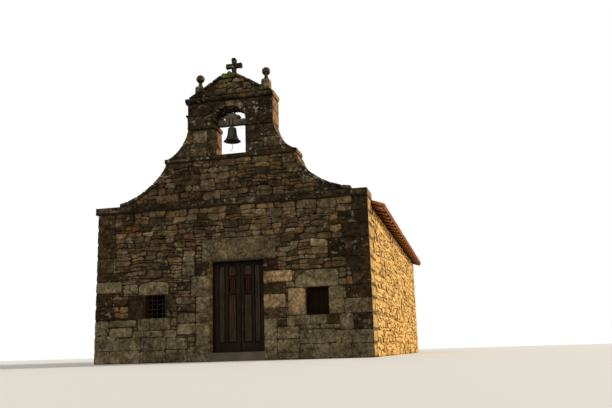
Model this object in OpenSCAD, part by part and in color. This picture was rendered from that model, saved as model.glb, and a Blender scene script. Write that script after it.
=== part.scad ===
// Small stone chapel with a curved bell gable, a swinging bell and a double plank-and-panel door.
// Millimetres, +Z up. The front faces -Y, the long side walls run along Y, the ground is z = 0.
// Inside the modules y is counted from the front wall's face; placed() moves it to the row frame.

/* [Walls] */
// Width of the front wall over its corners
wall_w = 6800; // [6400:50:7200]
// Length of the chapel, front face to rear face
wall_len = 12750; // [11000:50:14000]
// Thickness of the front wall
front_t = 720; // [680:10:800]
// Thickness of the side walls and the rear wall
side_t = 650; // [550:10:700]
// Height of the side walls at their outer face
eave_z = 3500; // [3450:10:3550]
// Height of the floor and the threshold above the ground
floor_z = 200; // [150:10:250]

/* [Doorway] */
// Left edge of the doorway, seen from the front
door_x0 = -450; // [-480:5:-430]
// Right edge of the doorway
door_x1 = 890; // [870:5:910]
// Place where the two leaves meet
door_mid = 250; // [230:5:270]
// Underside of the door lintel
door_top = 2345; // [2300:5:2400]
// Depth of the rebate that the leaves close against
rebate_y = 224; // [200:2:240]
// Width of the rebate behind the jambs and the lintel
rebate_w = 45; // [40:1:60]
// Thickness of a door leaf
leaf_t = 60; // [50:1:64]
// Running gap round a closed leaf
leaf_gap = 6; // [6:1:8]

/* [Bell gable] */
// Underside of the lower string course
string1_z = 3660; // [3640:5:3680]
// Height of the lower string course
string1_h = 170; // [150:5:180]
// Underside of the upper string course
string2_z = 4840; // [4800:5:4880]
// Height of the upper string course
string2_h = 105; // [90:5:120]
// Middle of the belfry, measured from the middle of the front wall
belfry_x = 80; // [60:5:100]
// Half width of the belfry over its straight sides
belfry_w = 1106; // [1080:2:1120]
// Half width of the belfry over its flared feet
foot_w = 1675; // [1650:5:1700]
// Thickness of the belfry wall
belfry_t = 530; // [500:10:560]
// Course joint where the flared feet end and the imposts sit
impost_z = 5640; // [5620:5:5660]
// Underside of the belfry cornice
cornice_z = 6340; // [6340:5:6360]
// Height of the belfry cornice
cornice_h = 160; // [140:5:180]

/* [Bell] */
// Half width of the bell opening, the radius of its arch
arch_r = 402; // [395:1:410]
// Height at which the arch springs
spring_z = 5840; // [5835:1:5845]
// Middle of the bell, measured from the middle of the front wall
bell_x = 50; // [40:5:60]
// Height of the axis that the bell swings about
swing_z = 5790; // [5785:1:5795]
// Radius of the bell's lip
lip_r = 215; // [205:1:220]
// Height of the bell's lip above the ground
lip_z = 5350; // [5340:5:5360]

/* [Roof] */
// Rise of the roof for each unit of run
roof_rise = 0.33; // [0.30:0.01:0.34]
// Reach of the tiles past the side walls
eave_reach = 324; // [300:2:340]
// Reach of the tiles past the rear wall
verge_reach = 120; // [80:5:160]
// Least spacing of the rows of cover tiles
cover_pitch = 208; // [200:1:240]
// Spacing of the rafters
rafter_pitch = 535; // [500:5:560]

/* [Hidden] */

stone = "#8c8168";
dark_stone = "#6e6a58";
warm_stone = "#c9a56b";
tile_red = "#b5603a";
timber = "#5a4632";
door_brown = "#33261f";
iron = "#2c2826";
bronze = "#4d5148";
rope_grey = "#9c8d78";

half_w = wall_w / 2;
front_reach = 75;
y_front = -(wall_len + verge_reach - front_reach) / 2;
inner_x = half_w - side_t;
rear_y = wall_len - side_t;
string1_top = string1_z + string1_h;
string2_top = string2_z + string2_h;
cornice_top = cornice_z + cornice_h;

// Front wall: the lintel's ends set the width of the jamb stones
lintel_x0 = -641;
lintel_x1 = 1181;
lintel_top = 2875;
back_lintel_z = door_top + 40;

// Window openings and their dressed stones: x0, x1, z0, z1
left_window = [-2110, -1580, 1050, 1600];
right_window = [1870, 2425, 983, 1607];
left_lintel = [-2270, -1490, 1600, 1930];
right_lintel = [1640, 2660, 1607, 2008];
left_jamb_out = [-2530, -1310];
right_jamb_out = [1463, 2766];
left_sill = [-2275, -1440, 760, 1050];
right_sill = [1640, 2660, 760, 983];
board_y = 120;
board_t = 40;

// Side windows, one in the middle of each side wall: y0, y1, z0, z1
side_window = [6700, 7000, 1170, 1730];

// String courses: reach past the wall at the left end, the right end and the front
string1_reach = [60, 10, 60];
string2_reach = [25, 10, 50];

// Curved gable: outer ends, inner ends and the power of each concave sweep
gable_out = [-2827, 3036];
gable_in = [-1592, 1760];
gable_power = [1.45, 1.65];
gable_foot = 87;
gable_coping_reach = 40;
sweep_steps = 12;

// Belfry
foot_power = 1.5;
bell_mid_y = belfry_t / 2;
ring_t = 118;
impost_reach = 28;
impost_gap = 10;
cornice_ends = [65, 25];
cornice_bed = 20;
cornice_chamfer = 60;
pediment_rise = 0.607;
pediment_w = 1090;
coping_t = 82;
coping_reach = 45;
apex_r = 481;
finial_x = 880;
pedestal_w = 220;
pedestal_z = 6885;
chamfer_h = 30;
chamfer_in = 22;
ball_z = 7103;
ball_r = 100;
cross_x = 115;
cross_top = 7565;
block_z = 6920;
block_top = 7060;
block_ends = [-210, 160];
block_reach = 50;
block_gap = 5;

// Roof build-up, as vertical heights
rafter_h = 90;
rafter_w = 80;
board_h = 22;
pan_h = 26;
cover_w = 158;
cover_h = 67;
cover_sides = 5;
cover_end = 95;
rafter_y0 = front_t + 100;
rafter_n = floor((rear_y - rafter_y0) / rafter_pitch) + 1;
ridge_w = 140;
ridge_h = 200;
rafter_end = half_w + eave_reach - 40;
board_end = half_w + eave_reach - 30;
ridge_r = 120;
ridge_wall = 20;
ridge_gap = 10;
roof_y1 = wall_len + verge_reach;
cover_n = floor((roof_y1 - front_t - 100) / cover_pitch);

// Door
leaf_y = rebate_y + leaf_gap;
leaf_back = leaf_y + leaf_t;
leaf_z0 = floor_z + 8;
leaf_z1 = back_lintel_z - 8;
meet_gap = 14;
pin_in = 12;
pin_back = 16;
pin_r = 9;
eye_r = 15;
eye_bore = 9.05;
eye_h = 50;
strap_zs = [430, 2060];
grille_bar_r = 7;
grille_z = 1600;
grille_h = 320;
grille_in = 15;
pintle_h = 94;
pintle_drop = 22;
pintle_arm = 20;
strap_len = 480;
strap_t = 8;
panel_z = 420;
far_panel_h = 1830;
near_panel_h = 1130;
top_panel_z = 1975;
top_panel_h = 270;
near_w = 210;
far_ws = [165, 150];
meet_stiles = [105, 75];
outer_stile = 145;
mid_stile = 55;

// Bell
bearing_t = 30;
bearing_h = 50;
bearing_w = 120;
gudgeon_r = 16;
gudgeon_bore = 16.05;
yoke_end = arch_r - bearing_t - 5;
yoke_z0 = 5765;
yoke_z1 = 5900;
head_x = 60;
head_t = 130;
yoke_w = 160;
gudgeon_len = 140;
gudgeon_in = 38;
yoke_strap_x = 45;
yoke_strap_w = 30;
yoke_strap_t = 10;
yoke_strap_over = 30;
shoulder_r = 106;
waist_r = 134;
shoulder_z = 5665;
bell_top = 5715;
bell_wall = 20;
bell_power = 4;
hanger_x = 26;
hanger_t = 12;
clapper_pin_r = 7;
clapper_z = 5630;
clapper_ball_z = 5400;
clapper_r = 34;
clapper_tip_z = 5338;
rope_r = 6;
rope_points = [[0, 0, 0], [1, 0, -40], [4, 0, -80], [6, 2, -120], [4, 4, -155],
    [-4, 5, -185], [-18, 5, -210], [-36, 4, -226], [-56, 2, -234]];

module placed() {
    translate([0, y_front, 0]) children();
}

// Upright box from its low corner to its high corner
module block(x0, x1, y0, y1, z0, z1) {
    translate([x0, y0, z0]) cube([x1 - x0, y1 - y0, z1 - z0]);
}

// Outline drawn in x and z, carried back from y0 to y1
module upright(y0, y1) {
    translate([0, y1, 0]) rotate([90, 0, 0]) linear_extrude(y1 - y0) children();
}

// Box through the wall for an opening given as x0, x1, z0, z1
module through(o, y0, y1) {
    block(o[0], o[1], y0, y1, o[2], o[3]);
}

// Concave sweep from the outer end at the bottom to the inner end at the top
function sweep_curve(x_out, x_in, z_low, z_high, power) = [
    for (i = [0 : sweep_steps])
        let (a = 90 * i / sweep_steps)
        [x_out + (x_in - x_out) * pow(sin(a), 2 / power),
         z_high - (z_high - z_low) * pow(cos(a), 2 / power)]
];

function reversed(list) = [for (i = [len(list) - 1 : -1 : 0]) list[i]];

module floor_slab() {
    color(stone) placed() block(-inner_x, inner_x, front_t, rear_y, 0, floor_z);
}

module threshold() {
    color(stone) placed() {
        block(door_x0, door_x1, 0, rebate_y, 0, floor_z);
        block(door_x0 - rebate_w, door_x1 + rebate_w, rebate_y, front_t, 0, floor_z);
    }
}

// Window stones, cut from the wall so that they seat in it
module window_stone_boxes(lintel, jamb_out, window, sill, y0, y1) {
    through(lintel, y0, y1);
    block(jamb_out[0], window[0], y0, y1, window[2], window[3]);
    block(window[1], jamb_out[1], y0, y1, window[2], window[3]);
    through(sill, y0, y1);
}

module front_wall_left() {
    color(stone) placed() difference() {
        block(-half_w, lintel_x0, 0, front_t, 0, string1_z);
        through(left_window, -1, front_t + 1);
        window_stone_boxes(left_lintel, left_jamb_out, left_window, left_sill, -1, front_t + 1);
    }
}

module front_wall_right() {
    color(stone) placed() difference() {
        block(lintel_x1, half_w, 0, front_t, 0, string1_z);
        through(right_window, -1, front_t + 1);
        window_stone_boxes(right_lintel, right_jamb_out, right_window, right_sill, -1, front_t + 1);
    }
}

module front_wall_over_door() {
    color(stone) placed() block(lintel_x0, lintel_x1, 0, front_t, lintel_top, string1_z);
}

module side_wall(side) {
    color(warm_stone) placed() difference() {
        upright(front_t, rear_y) polygon([
            [side * inner_x, 0], [side * half_w, 0], [side * half_w, eave_z],
            [side * inner_x, eave_z + side_t * roof_rise]]);
        block(min(side * inner_x, side * half_w) - 1, max(side * inner_x, side * half_w) + 1,
            side_window[0], side_window[1], side_window[2], side_window[3]);
    }
}

module rear_wall() {
    apex = eave_z + rafter_h + half_w * roof_rise;
    color(warm_stone) placed() upright(rear_y, wall_len) polygon([
        [-half_w, 0], [half_w, 0], [half_w, eave_z + rafter_h], [0, apex],
        [-half_w, eave_z + rafter_h]]);
}

module door_jambs() {
    color(stone) placed() {
        block(lintel_x0, door_x0 - rebate_w, 0, front_t, 0, door_top);
        block(door_x0 - rebate_w, door_x0, 0, rebate_y, 0, door_top);
        block(door_x1 + rebate_w, lintel_x1, 0, front_t, 0, door_top);
        block(door_x1, door_x1 + rebate_w, 0, rebate_y, 0, door_top);
    }
}

module door_lintel() {
    color(stone) placed() block(lintel_x0, lintel_x1, 0, rebate_y, door_top, lintel_top);
}

module door_back_lintel() {
    color(stone) placed() {
        block(lintel_x0, lintel_x1, rebate_y, front_t, back_lintel_z, lintel_top);
        block(lintel_x0, door_x0 - rebate_w, rebate_y, front_t, door_top, back_lintel_z);
        block(door_x1 + rebate_w, lintel_x1, rebate_y, front_t, door_top, back_lintel_z);
    }
}

module window_lintels() {
    color(stone) placed() {
        through(left_lintel, 0, front_t);
        through(right_lintel, 0, front_t);
    }
}

module window_jambs() {
    color(stone) placed() {
        block(left_jamb_out[0], left_window[0], 0, front_t, left_window[2], left_window[3]);
        block(left_window[1], left_jamb_out[1], 0, front_t, left_window[2], left_window[3]);
        block(right_jamb_out[0], right_window[0], 0, front_t, right_window[2], right_window[3]);
        block(right_window[1], right_jamb_out[1], 0, front_t, right_window[2], right_window[3]);
    }
}

module window_sills() {
    color(stone) placed() {
        through(left_sill, 0, front_t);
        through(right_sill, 0, front_t);
    }
}

module right_window_board() {
    color(door_brown) placed() through(right_window, board_y, board_y + board_t);
}

module lower_string_course() {
    color(dark_stone) placed()
        block(-half_w - string1_reach[0], half_w + string1_reach[1], -string1_reach[2], front_t,
            string1_z, string1_top);
}

module gable_wall() {
    left = sweep_curve(gable_out[0], gable_in[0] + gable_foot, string1_top, string2_z, gable_power[0]);
    right = sweep_curve(gable_out[1], gable_in[1] - gable_foot, string1_top, string2_z, gable_power[1]);
    color(stone) placed() upright(0, front_t) polygon(concat(left, reversed(right)));
}

module gable_coping(side) {
    inward = side == 0 ? gable_foot : -gable_foot;
    over = sweep_curve(gable_out[side], gable_in[side], string1_top + gable_foot, string2_z,
        gable_power[side]);
    under = sweep_curve(gable_out[side], gable_in[side] + inward, string1_top, string2_z,
        gable_power[side]);
    upright(-gable_coping_reach, front_t) polygon(concat(under, reversed(over)));
}

module gable_copings() {
    color(dark_stone) placed() {
        gable_coping(0);
        gable_coping(1);
    }
}

module upper_string_course() {
    color(dark_stone) placed()
        block(belfry_x - foot_w - string2_reach[0], belfry_x + foot_w + string2_reach[1],
            -string2_reach[2], belfry_t + string2_reach[2], string2_z, string2_top);
}

// One pier of the belfry with its flared foot, side -1 or 1
module belfry_pier(side) {
    flare = sweep_curve(side * foot_w, side * belfry_w, string2_top, impost_z, foot_power);
    translate([belfry_x, 0, 0]) upright(0, belfry_t)
        polygon(concat([[side * arch_r, impost_z], [side * arch_r, string2_top]], flare));
}

module belfry_piers() {
    color(dark_stone) placed() {
        belfry_pier(-1);
        belfry_pier(1);
    }
}

// Upper part of one side of the belfry: impost, straight jamb and the stone round the arch
module belfry_shoulder(side) {
    impost_x = side > 0 ? arch_r - impost_reach : -arch_r;
    translate([belfry_x, 0, 0]) {
        difference() {
            block(min(0, side * belfry_w), max(0, side * belfry_w), 0, belfry_t, impost_z, cornice_z);
            block(-arch_r, arch_r, -1, belfry_t + 1, impost_z - 1, spring_z);
            translate([0, belfry_t + 1, spring_z]) rotate([90, 0, 0])
                cylinder(r = arch_r + ring_t, h = belfry_t + 2, $fn = 64);
        }
        block(impost_x, impost_x + impost_reach, 0, belfry_t,
            impost_z + impost_gap, swing_z - bearing_h);
    }
}

module belfry_shoulders() {
    color(dark_stone) placed() {
        belfry_shoulder(-1);
        belfry_shoulder(1);
    }
}

module bell_arch() {
    color(dark_stone) placed() translate([belfry_x, 0, 0]) intersection() {
        translate([0, belfry_t, spring_z]) rotate([90, 0, 0]) difference() {
            cylinder(r = arch_r + ring_t, h = belfry_t, $fn = 64);
            translate([0, 0, -1]) cylinder(r = arch_r, h = belfry_t + 2, $fn = 64);
        }
        block(-arch_r - ring_t, arch_r + ring_t, 0, belfry_t, spring_z, cornice_z);
    }
}

module belfry_cornice() {
    x0 = belfry_x - belfry_w - cornice_ends[0];
    x1 = belfry_x + belfry_w + cornice_ends[1];
    color(dark_stone) placed() translate([x0, 0, 0]) rotate([90, 0, 90]) linear_extrude(x1 - x0)
        polygon([[-cornice_bed, cornice_z], [-front_reach, cornice_z + cornice_chamfer],
            [-front_reach, cornice_top], [belfry_t + front_reach, cornice_top],
            [belfry_t + front_reach, cornice_z + cornice_chamfer],
            [belfry_t + cornice_bed, cornice_z]]);
}

// Outline of the pediment, lowered by drop: straight slopes with a rounded apex
module pediment_outline(drop) {
    w = pediment_w - drop / pediment_rise;
    slope = atan(pediment_rise);
    tangent_x = apex_r * sin(slope);
    tangent_z = cornice_top + (w - tangent_x) * pediment_rise;
    polygon([[-w, cornice_top], [w, cornice_top], [tangent_x, tangent_z], [-tangent_x, tangent_z]]);
    intersection() {
        translate([0, tangent_z - apex_r * cos(slope)]) circle(r = apex_r, $fn = 96);
        translate([-w, tangent_z - 1]) square([2 * w, apex_r]);
    }
}

// Apex stone that carries the cross, grown by gap for the cut in the coping
module apex_block(gap, top) {
    block(block_ends[0] - gap, block_ends[1] + gap, -block_reach - gap,
        belfry_t + block_reach + gap, block_z, top);
}

module pedestal_boxes(y0, y1) {
    for (side = [-1, 1])
        block(side * finial_x - pedestal_w / 2, side * finial_x + pedestal_w / 2, y0, y1,
            cornice_top - 1, pedestal_z);
}

module pediment() {
    color(dark_stone) placed() translate([belfry_x, 0, 0]) difference() {
        intersection() {
            upright(0, belfry_t) pediment_outline(coping_t);
            block(pedestal_w / 2 - finial_x, finial_x - pedestal_w / 2, 0, belfry_t,
                cornice_top, cross_top);
        }
        apex_block(0, block_top);
    }
}

module pediment_coping() {
    color(dark_stone) placed() translate([belfry_x, 0, 0]) difference() {
        upright(-coping_reach, belfry_t + coping_reach) difference() {
            pediment_outline(0);
            pediment_outline(coping_t);
        }
        pedestal_boxes(-50, belfry_t + 50);
        apex_block(block_gap, cross_top);
    }
}

// Square pedestal with a chamfer round its top
module pedestal() {
    half = pedestal_w / 2;
    outline = [[-half, cornice_top], [half, cornice_top], [half, pedestal_z - chamfer_h],
        [half - chamfer_in, pedestal_z], [chamfer_in - half, pedestal_z],
        [-half, pedestal_z - chamfer_h]];
    intersection() {
        upright(-half, half) polygon(outline);
        rotate([0, 0, 90]) upright(-half, half) polygon(outline);
    }
}

module ball_finials() {
    color(dark_stone) placed() for (side = [-1, 1])
        translate([belfry_x + side * finial_x, bell_mid_y, 0]) {
            pedestal();
            rotate_extrude($fn = 48) polygon([[0, pedestal_z - 1], [75, pedestal_z - 1],
                [75, pedestal_z + 20], [48, pedestal_z + 45], [42, pedestal_z + 90],
                [50, ball_z - 80], [0, ball_z - 80]]);
            translate([0, 0, ball_z]) sphere(r = ball_r, $fn = 48);
        }
}

// The apex stone, with a rough wedge against the foot of the cross
module cross_block() {
    wedge_y0 = 100;
    wedge_y1 = bell_mid_y - 65;
    color(dark_stone) placed() translate([belfry_x, 0, 0]) {
        apex_block(0, block_top);
        upright(wedge_y0, wedge_y1) polygon([[-130, block_top - 1], [40, block_top - 1],
            [40, block_top + 50], [-45, block_top + 145], [-130, block_top + 65]]);
    }
}

// Stone cross with arms that widen a little towards their ends and a spread foot
module cross_piece() {
    arm_z = 7352;
    stem = 52;
    flare = 62;
    reach = 208;
    spread = 72;
    thick = 120;
    right = [[spread, block_top], [stem, block_top + spread], [stem, arm_z - stem],
        [reach, arm_z - flare],
        [reach, arm_z + flare], [stem, arm_z + stem], [flare, cross_top]];
    left = [for (p = reversed(right)) [-p[0], p[1]]];
    color(dark_stone) placed() translate([cross_x, 0, 0])
        upright(bell_mid_y - thick / 2, bell_mid_y + thick / 2) polygon(concat(right, left));
}

// Height of the rafters' underside at x
function under_rafter(x) = eave_z + (half_w - abs(x)) * roof_rise;

// Sloping band between x0 and x1 on one side, from low to high above the rafters' underside
module roof_band(side, x0, x1, low, high, y0, y1) {
    upright(y0, y1) polygon([
        [side * x0, under_rafter(x0) + low], [side * x1, under_rafter(x1) + low],
        [side * x1, under_rafter(x1) + high], [side * x0, under_rafter(x0) + high]]);
}

module ridge_beam() {
    top = under_rafter(ridge_w / 2) + rafter_h;
    color(timber) placed()
        block(-ridge_w / 2, ridge_w / 2, front_t, rear_y, top - ridge_h, top);
}

module rafters() {
    color(timber) placed() for (side = [-1, 1]) {
        for (i = [0 : rafter_n - 1]) {
            y = rafter_y0 + i * rafter_pitch;
            roof_band(side, ridge_w / 2, rafter_end, 0, rafter_h, y - rafter_w / 2, y + rafter_w / 2);
        }
        stub_y = rafter_y0 + rafter_n * rafter_pitch;
        roof_band(side, half_w, rafter_end, 0, rafter_h, stub_y - rafter_w / 2, stub_y + rafter_w / 2);
    }
}

module roof_boards() {
    color(timber) placed() for (side = [-1, 1])
        roof_band(side, ridge_gap, board_end, rafter_h, rafter_h + board_h, front_t,
            roof_y1 - 30);
}

// Section across the rows of tiles: a half-round cover over each joint between two pans
function tile_section() =
    let (step = (roof_y1 - front_t - 2 * cover_end) / cover_n)
    concat([[front_t, 0], [front_t, pan_h]],
        [for (i = [0 : cover_n], k = [0 : cover_sides])
            let (a = 180 - 180 * k / cover_sides)
            [front_t + cover_end + i * step + cover_w / 2 * cos(a), pan_h + cover_h * sin(a)]],
        [[roof_y1, pan_h], [roof_y1, 0]]);

// One slope of curved tiles, cut plumb at the ridge and at the eave
module roof_tiles(side) {
    eave_x = half_w + eave_reach;
    long = 1.1 * eave_x;
    color(tile_red) placed() intersection() {
        block(min(side * ridge_gap, side * eave_x), max(side * ridge_gap, side * eave_x),
            0, 2 * roof_y1, 0, cross_top);
        translate([0, 0, under_rafter(0) + rafter_h + board_h])
            rotate([0, side * atan(roof_rise), 0])
                translate([side < 0 ? -long : -long / 20, 0, 0]) rotate([90, 0, 90])
                    linear_extrude(1.05 * long) polygon(tile_section());
    }
}

// Half-round ridge tiles that lie on the crests of the cover tiles
module ridge_tiles() {
    crest = pan_h + cover_h * sin(180 * floor(cover_sides / 2) / cover_sides);
    top = rafter_h + board_h + crest * norm([1, roof_rise]);
    mid_z = under_rafter(ridge_r) + top;
    long = roof_y1 - front_t;
    side = 2 * ridge_r;
    color(tile_red) placed() difference() {
        translate([0, roof_y1, mid_z]) rotate([90, 0, 0]) difference() {
            cylinder(r = ridge_r, h = long, $fn = 48);
            translate([0, 0, -1]) cylinder(r = ridge_r - ridge_wall, h = long + 2, $fn = 48);
        }
        upright(front_t - 1, roof_y1 + 1)
            polygon([[0, under_rafter(0) + top], [-side, under_rafter(side) + top],
                [-side, mid_z - side], [side, mid_z - side], [side, under_rafter(side) + top]]);
    }
}

// Hinge axis of a leaf: side -1 is the left leaf
function pin_x(side) = side < 0 ? door_x0 - rebate_w + leaf_gap + pin_in
    : door_x1 + rebate_w - leaf_gap - pin_in;
pin_y = leaf_back + pin_back;

module door_pintles() {
    color(iron) placed() for (side = [-1, 1], z = strap_zs) {
        wall_x = side < 0 ? door_x0 - rebate_w : door_x1 + rebate_w;
        translate([pin_x(side), pin_y, z - pintle_drop]) cylinder(r = pin_r, h = pintle_h, $fn = 32);
        block(min(wall_x, pin_x(side)), max(wall_x, pin_x(side)), pin_y - pin_r, pin_y + pin_r,
            z - pintle_drop, z - pintle_drop + pintle_arm);
    }
}

// Outline of a door panel with a rounded top
module panel_outline(w, h, arched) {
    if (arched) {
        square([w, h - w / 2]);
        translate([w / 2, h - w / 2]) circle(r = w / 2, $fn = 32);
    } else {
        square([w, h]);
    }
}

// Sunk panel with a raised field, cut into the leaf's front face
module sunk_panel(x, z, w, h, arched) {
    margin = 22;
    translate([x, leaf_y, z]) difference() {
        upright(-1, 16) panel_outline(w, h, arched);
        upright(4, 17) translate([margin, margin])
            panel_outline(w - 2 * margin, h - 2 * margin, arched);
    }
}

// Door leaf from its outer edge to the meeting gap, with panels and a grille opening
module door_leaf(side) {
    outer = side < 0 ? door_x0 - rebate_w + leaf_gap : door_x1 + rebate_w - leaf_gap;
    meet = door_mid + side * meet_gap / 2;
    far = panel_x(side, 0);
    near = panel_x(side, 1);
    color(door_brown) placed() difference() {
        block(min(outer, meet), max(outer, meet), leaf_y, leaf_back, leaf_z0, leaf_z1);
        sunk_panel(far, panel_z, far_w(side), far_panel_h, true);
        sunk_panel(near, panel_z, near_w, near_panel_h, false);
        sunk_panel(near, top_panel_z, near_w, top_panel_h, true);
        translate([near + grille_in, leaf_y, grille_z]) upright(-1, leaf_t + 1)
            square([near_w - 2 * grille_in, grille_h]);
    }
}

// Width of a leaf's outer panel, and the left edge of its outer (0) and inner (1) panel
function far_w(side) = far_ws[side < 0 ? 0 : 1];
function panel_x(side, column) = side < 0
    ? (column == 0 ? door_x0 + outer_stile : door_mid - meet_stiles[0] - near_w)
    : door_mid + meet_stiles[1] + (column == 0 ? near_w + mid_stile : 0);

module door_ironwork(side) {
    near = panel_x(side, 1) + grille_in;
    w = near_w - 2 * grille_in;
    color(iron) placed() {
        for (z = strap_zs) {
            difference() {
                union() {
                    translate([pin_x(side), pin_y, z]) cylinder(r = eye_r, h = eye_h, $fn = 32);
                    block(min(pin_x(side), pin_x(side) - side * strap_len),
                        max(pin_x(side), pin_x(side) - side * strap_len),
                        leaf_back, leaf_back + strap_t, z, z + eye_h);
                }
                translate([pin_x(side), pin_y, z - 1]) cylinder(r = eye_bore, h = eye_h + 2, $fn = 32);
            }
        }
        for (i = [1 : 3])
            translate([near + w * i / 4, leaf_y + leaf_t / 2, grille_z])
                cylinder(r = grille_bar_r, h = grille_h, $fn = 16);
    }
}

module yoke_bearings() {
    color(iron) placed() for (side = [-1, 1]) difference() {
        block(min(belfry_x + side * arch_r, belfry_x + side * (arch_r - bearing_t)),
            max(belfry_x + side * arch_r, belfry_x + side * (arch_r - bearing_t)),
            bell_mid_y - bearing_w / 2, bell_mid_y + bearing_w / 2,
            swing_z - bearing_h, swing_z + bearing_h);
        translate([belfry_x + side * arch_r - 100, bell_mid_y, swing_z]) rotate([0, 90, 0])
            cylinder(r = gudgeon_bore, h = 200, $fn = 48);
    }
}

// Wooden headstock: a beam that carries a block with two rounded ears as the counterweight
module bell_yoke() {
    ears = [[140, -1], [108, 30], [190, 45], [212, 75], [200, 105], [115, 128], [92, 170]];
    color(timber) placed() difference() {
        union() {
            block(belfry_x - yoke_end, belfry_x + yoke_end, bell_mid_y - yoke_w / 2,
                bell_mid_y + yoke_w / 2, yoke_z0, yoke_z1);
            translate([head_x, 0, yoke_z1])
                upright(bell_mid_y - head_t / 2, bell_mid_y + head_t / 2)
                    polygon(concat(ears, [for (p = reversed(ears)) [-p[0], p[1]]]));
        }
        for (side = [-1, 1])
            translate([belfry_x + side * yoke_end, bell_mid_y, swing_z]) rotate([0, 90, 0])
                cylinder(r = gudgeon_r + 0.2, h = 2 * yoke_w, center = true, $fn = 48);
    }
}

module yoke_ironwork() {
    color(iron) placed() {
        for (side = [-1, 1])
            translate([belfry_x + side * (yoke_end - gudgeon_in), bell_mid_y, swing_z])
                rotate([0, 90, 0]) cylinder(r = gudgeon_r, h = gudgeon_len, center = true, $fn = 48);
        for (x = [bell_x - yoke_strap_x, bell_x + yoke_strap_x], face = [-1, 1]) {
            near = bell_mid_y + face * yoke_w / 2;
            far = near + face * yoke_strap_t;
            block(x - yoke_strap_w / 2, x + yoke_strap_w / 2, min(near, far), max(near, far),
                yoke_z0, yoke_z1 + yoke_strap_over);
        }
    }
}

// Outer radius of the bell at height z: a slight taper, then the flare to the lip
function bell_r(z) =
    let (t = (shoulder_z - z) / (shoulder_z - lip_z))
    shoulder_r + (waist_r - shoulder_r) * t + (lip_r - waist_r) * pow(t, bell_power);

module bell() {
    steps = 14;
    outside = [for (i = [0 : steps])
        let (z = lip_z + (shoulder_z - lip_z) * i / steps)
        [bell_r(z), z]];
    inside = [for (i = [steps : -1 : 0])
        let (z = lip_z + (shoulder_z - lip_z) * i / steps)
        [bell_r(z) - bell_wall - 10 * (1 - i / steps), z]];
    color(bronze) placed() translate([bell_x, bell_mid_y, 0]) {
        rotate_extrude($fn = 64) polygon(concat(outside,
            [[shoulder_r - 5, bell_top - 27], [shoulder_r - 22, bell_top - 10], [50, bell_top],
                [0, bell_top],
                [0, bell_top - bell_wall], [shoulder_r - 40, bell_top - bell_wall - 14]], inside));
        translate([0, 0, bell_top - 1]) cylinder(r = 34, h = yoke_z0 - bell_top + 1, $fn = 32);
        for (side = [-1, 1])
            block(side * hanger_x - hanger_t / 2, side * hanger_x + hanger_t / 2, -10, 10,
                clapper_z - 12, bell_top - bell_wall + 1);
        translate([0, 0, clapper_z]) rotate([0, 90, 0])
            cylinder(r = clapper_pin_r, h = 2 * hanger_x + hanger_t - 4, center = true, $fn = 32);
    }
}

module clapper() {
    color(iron) placed() translate([bell_x, bell_mid_y, 0]) {
        difference() {
            translate([0, 0, clapper_z]) rotate([0, 90, 0])
                cylinder(r = 20, h = 16, center = true, $fn = 32);
            translate([0, 0, clapper_z]) rotate([0, 90, 0])
                cylinder(r = clapper_pin_r + 0.1, h = 20, center = true, $fn = 32);
        }
        rotate_extrude($fn = 32) polygon([[0, clapper_tip_z], [9, clapper_tip_z],
            [9, clapper_ball_z], [8, clapper_ball_z], [8, clapper_z - 16], [0, clapper_z - 16]]);
        translate([0, 0, clapper_ball_z]) sphere(r = clapper_r, $fn = 32);
    }
}

// Tube swept along the rope's points, with its ends square to the route
function unit(v) = v / norm(v);
function route_dir(p, i) = unit(p[min(i + 1, len(p) - 1)] - p[max(i - 1, 0)]);
function ring_at(p, i, r, sides) =
    let (d = route_dir(p, i), a = unit(cross([0, 1, 0], d)), b = cross(d, a))
    [for (k = [0 : sides - 1]) p[i] + r * (cos(360 * k / sides) * a + sin(360 * k / sides) * b)];

module tube_along(p, r, sides) {
    rings = [for (i = [0 : len(p) - 1]) each ring_at(p, i, r, sides)];
    walls = [for (i = [0 : len(p) - 2], k = [0 : sides - 1])
        [i * sides + k, i * sides + (k + 1) % sides, (i + 1) * sides + (k + 1) % sides,
            (i + 1) * sides + k]];
    first = [for (k = [sides - 1 : -1 : 0]) k];
    last = [for (k = [0 : sides - 1]) (len(p) - 1) * sides + k];
    polyhedron(points = rings, faces = concat(walls, [first], [last]));
}

module bell_rope() {
    color(rope_grey) placed() translate([bell_x, bell_mid_y, clapper_tip_z])
        tube_along(rope_points, rope_r, 8);
}

floor_slab();  // floor
threshold();
front_wall_left();
front_wall_right();
front_wall_over_door();
side_wall(-1);  // left_side_wall
side_wall(1);  // right_side_wall
rear_wall();
door_jambs();
door_lintel();
door_back_lintel();
window_lintels();
window_jambs();
window_sills();
right_window_board();
lower_string_course();
gable_wall();
gable_copings();
upper_string_course();
belfry_piers();
belfry_shoulders();
bell_arch();
belfry_cornice();
pediment();
pediment_coping();
ball_finials();
cross_block();
cross_piece();  // cross
ridge_beam();
rafters();
roof_boards();
roof_tiles(-1);  // left_roof_tiles
roof_tiles(1);  // right_roof_tiles
ridge_tiles();
door_pintles();
door_leaf(-1);  // left_door_leaf
door_ironwork(-1);  // left_door_ironwork
door_leaf(1);  // right_door_leaf
door_ironwork(1);  // right_door_ironwork
yoke_bearings();
bell_yoke();
yoke_ironwork();
bell();
clapper();
bell_rope();
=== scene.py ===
import math
import random
from functools import cached_property, reduce

import bpy
import numpy as np
from mathutils import Matrix, Vector, noise
from mathutils.geometry import tessellate_polygon


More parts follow.
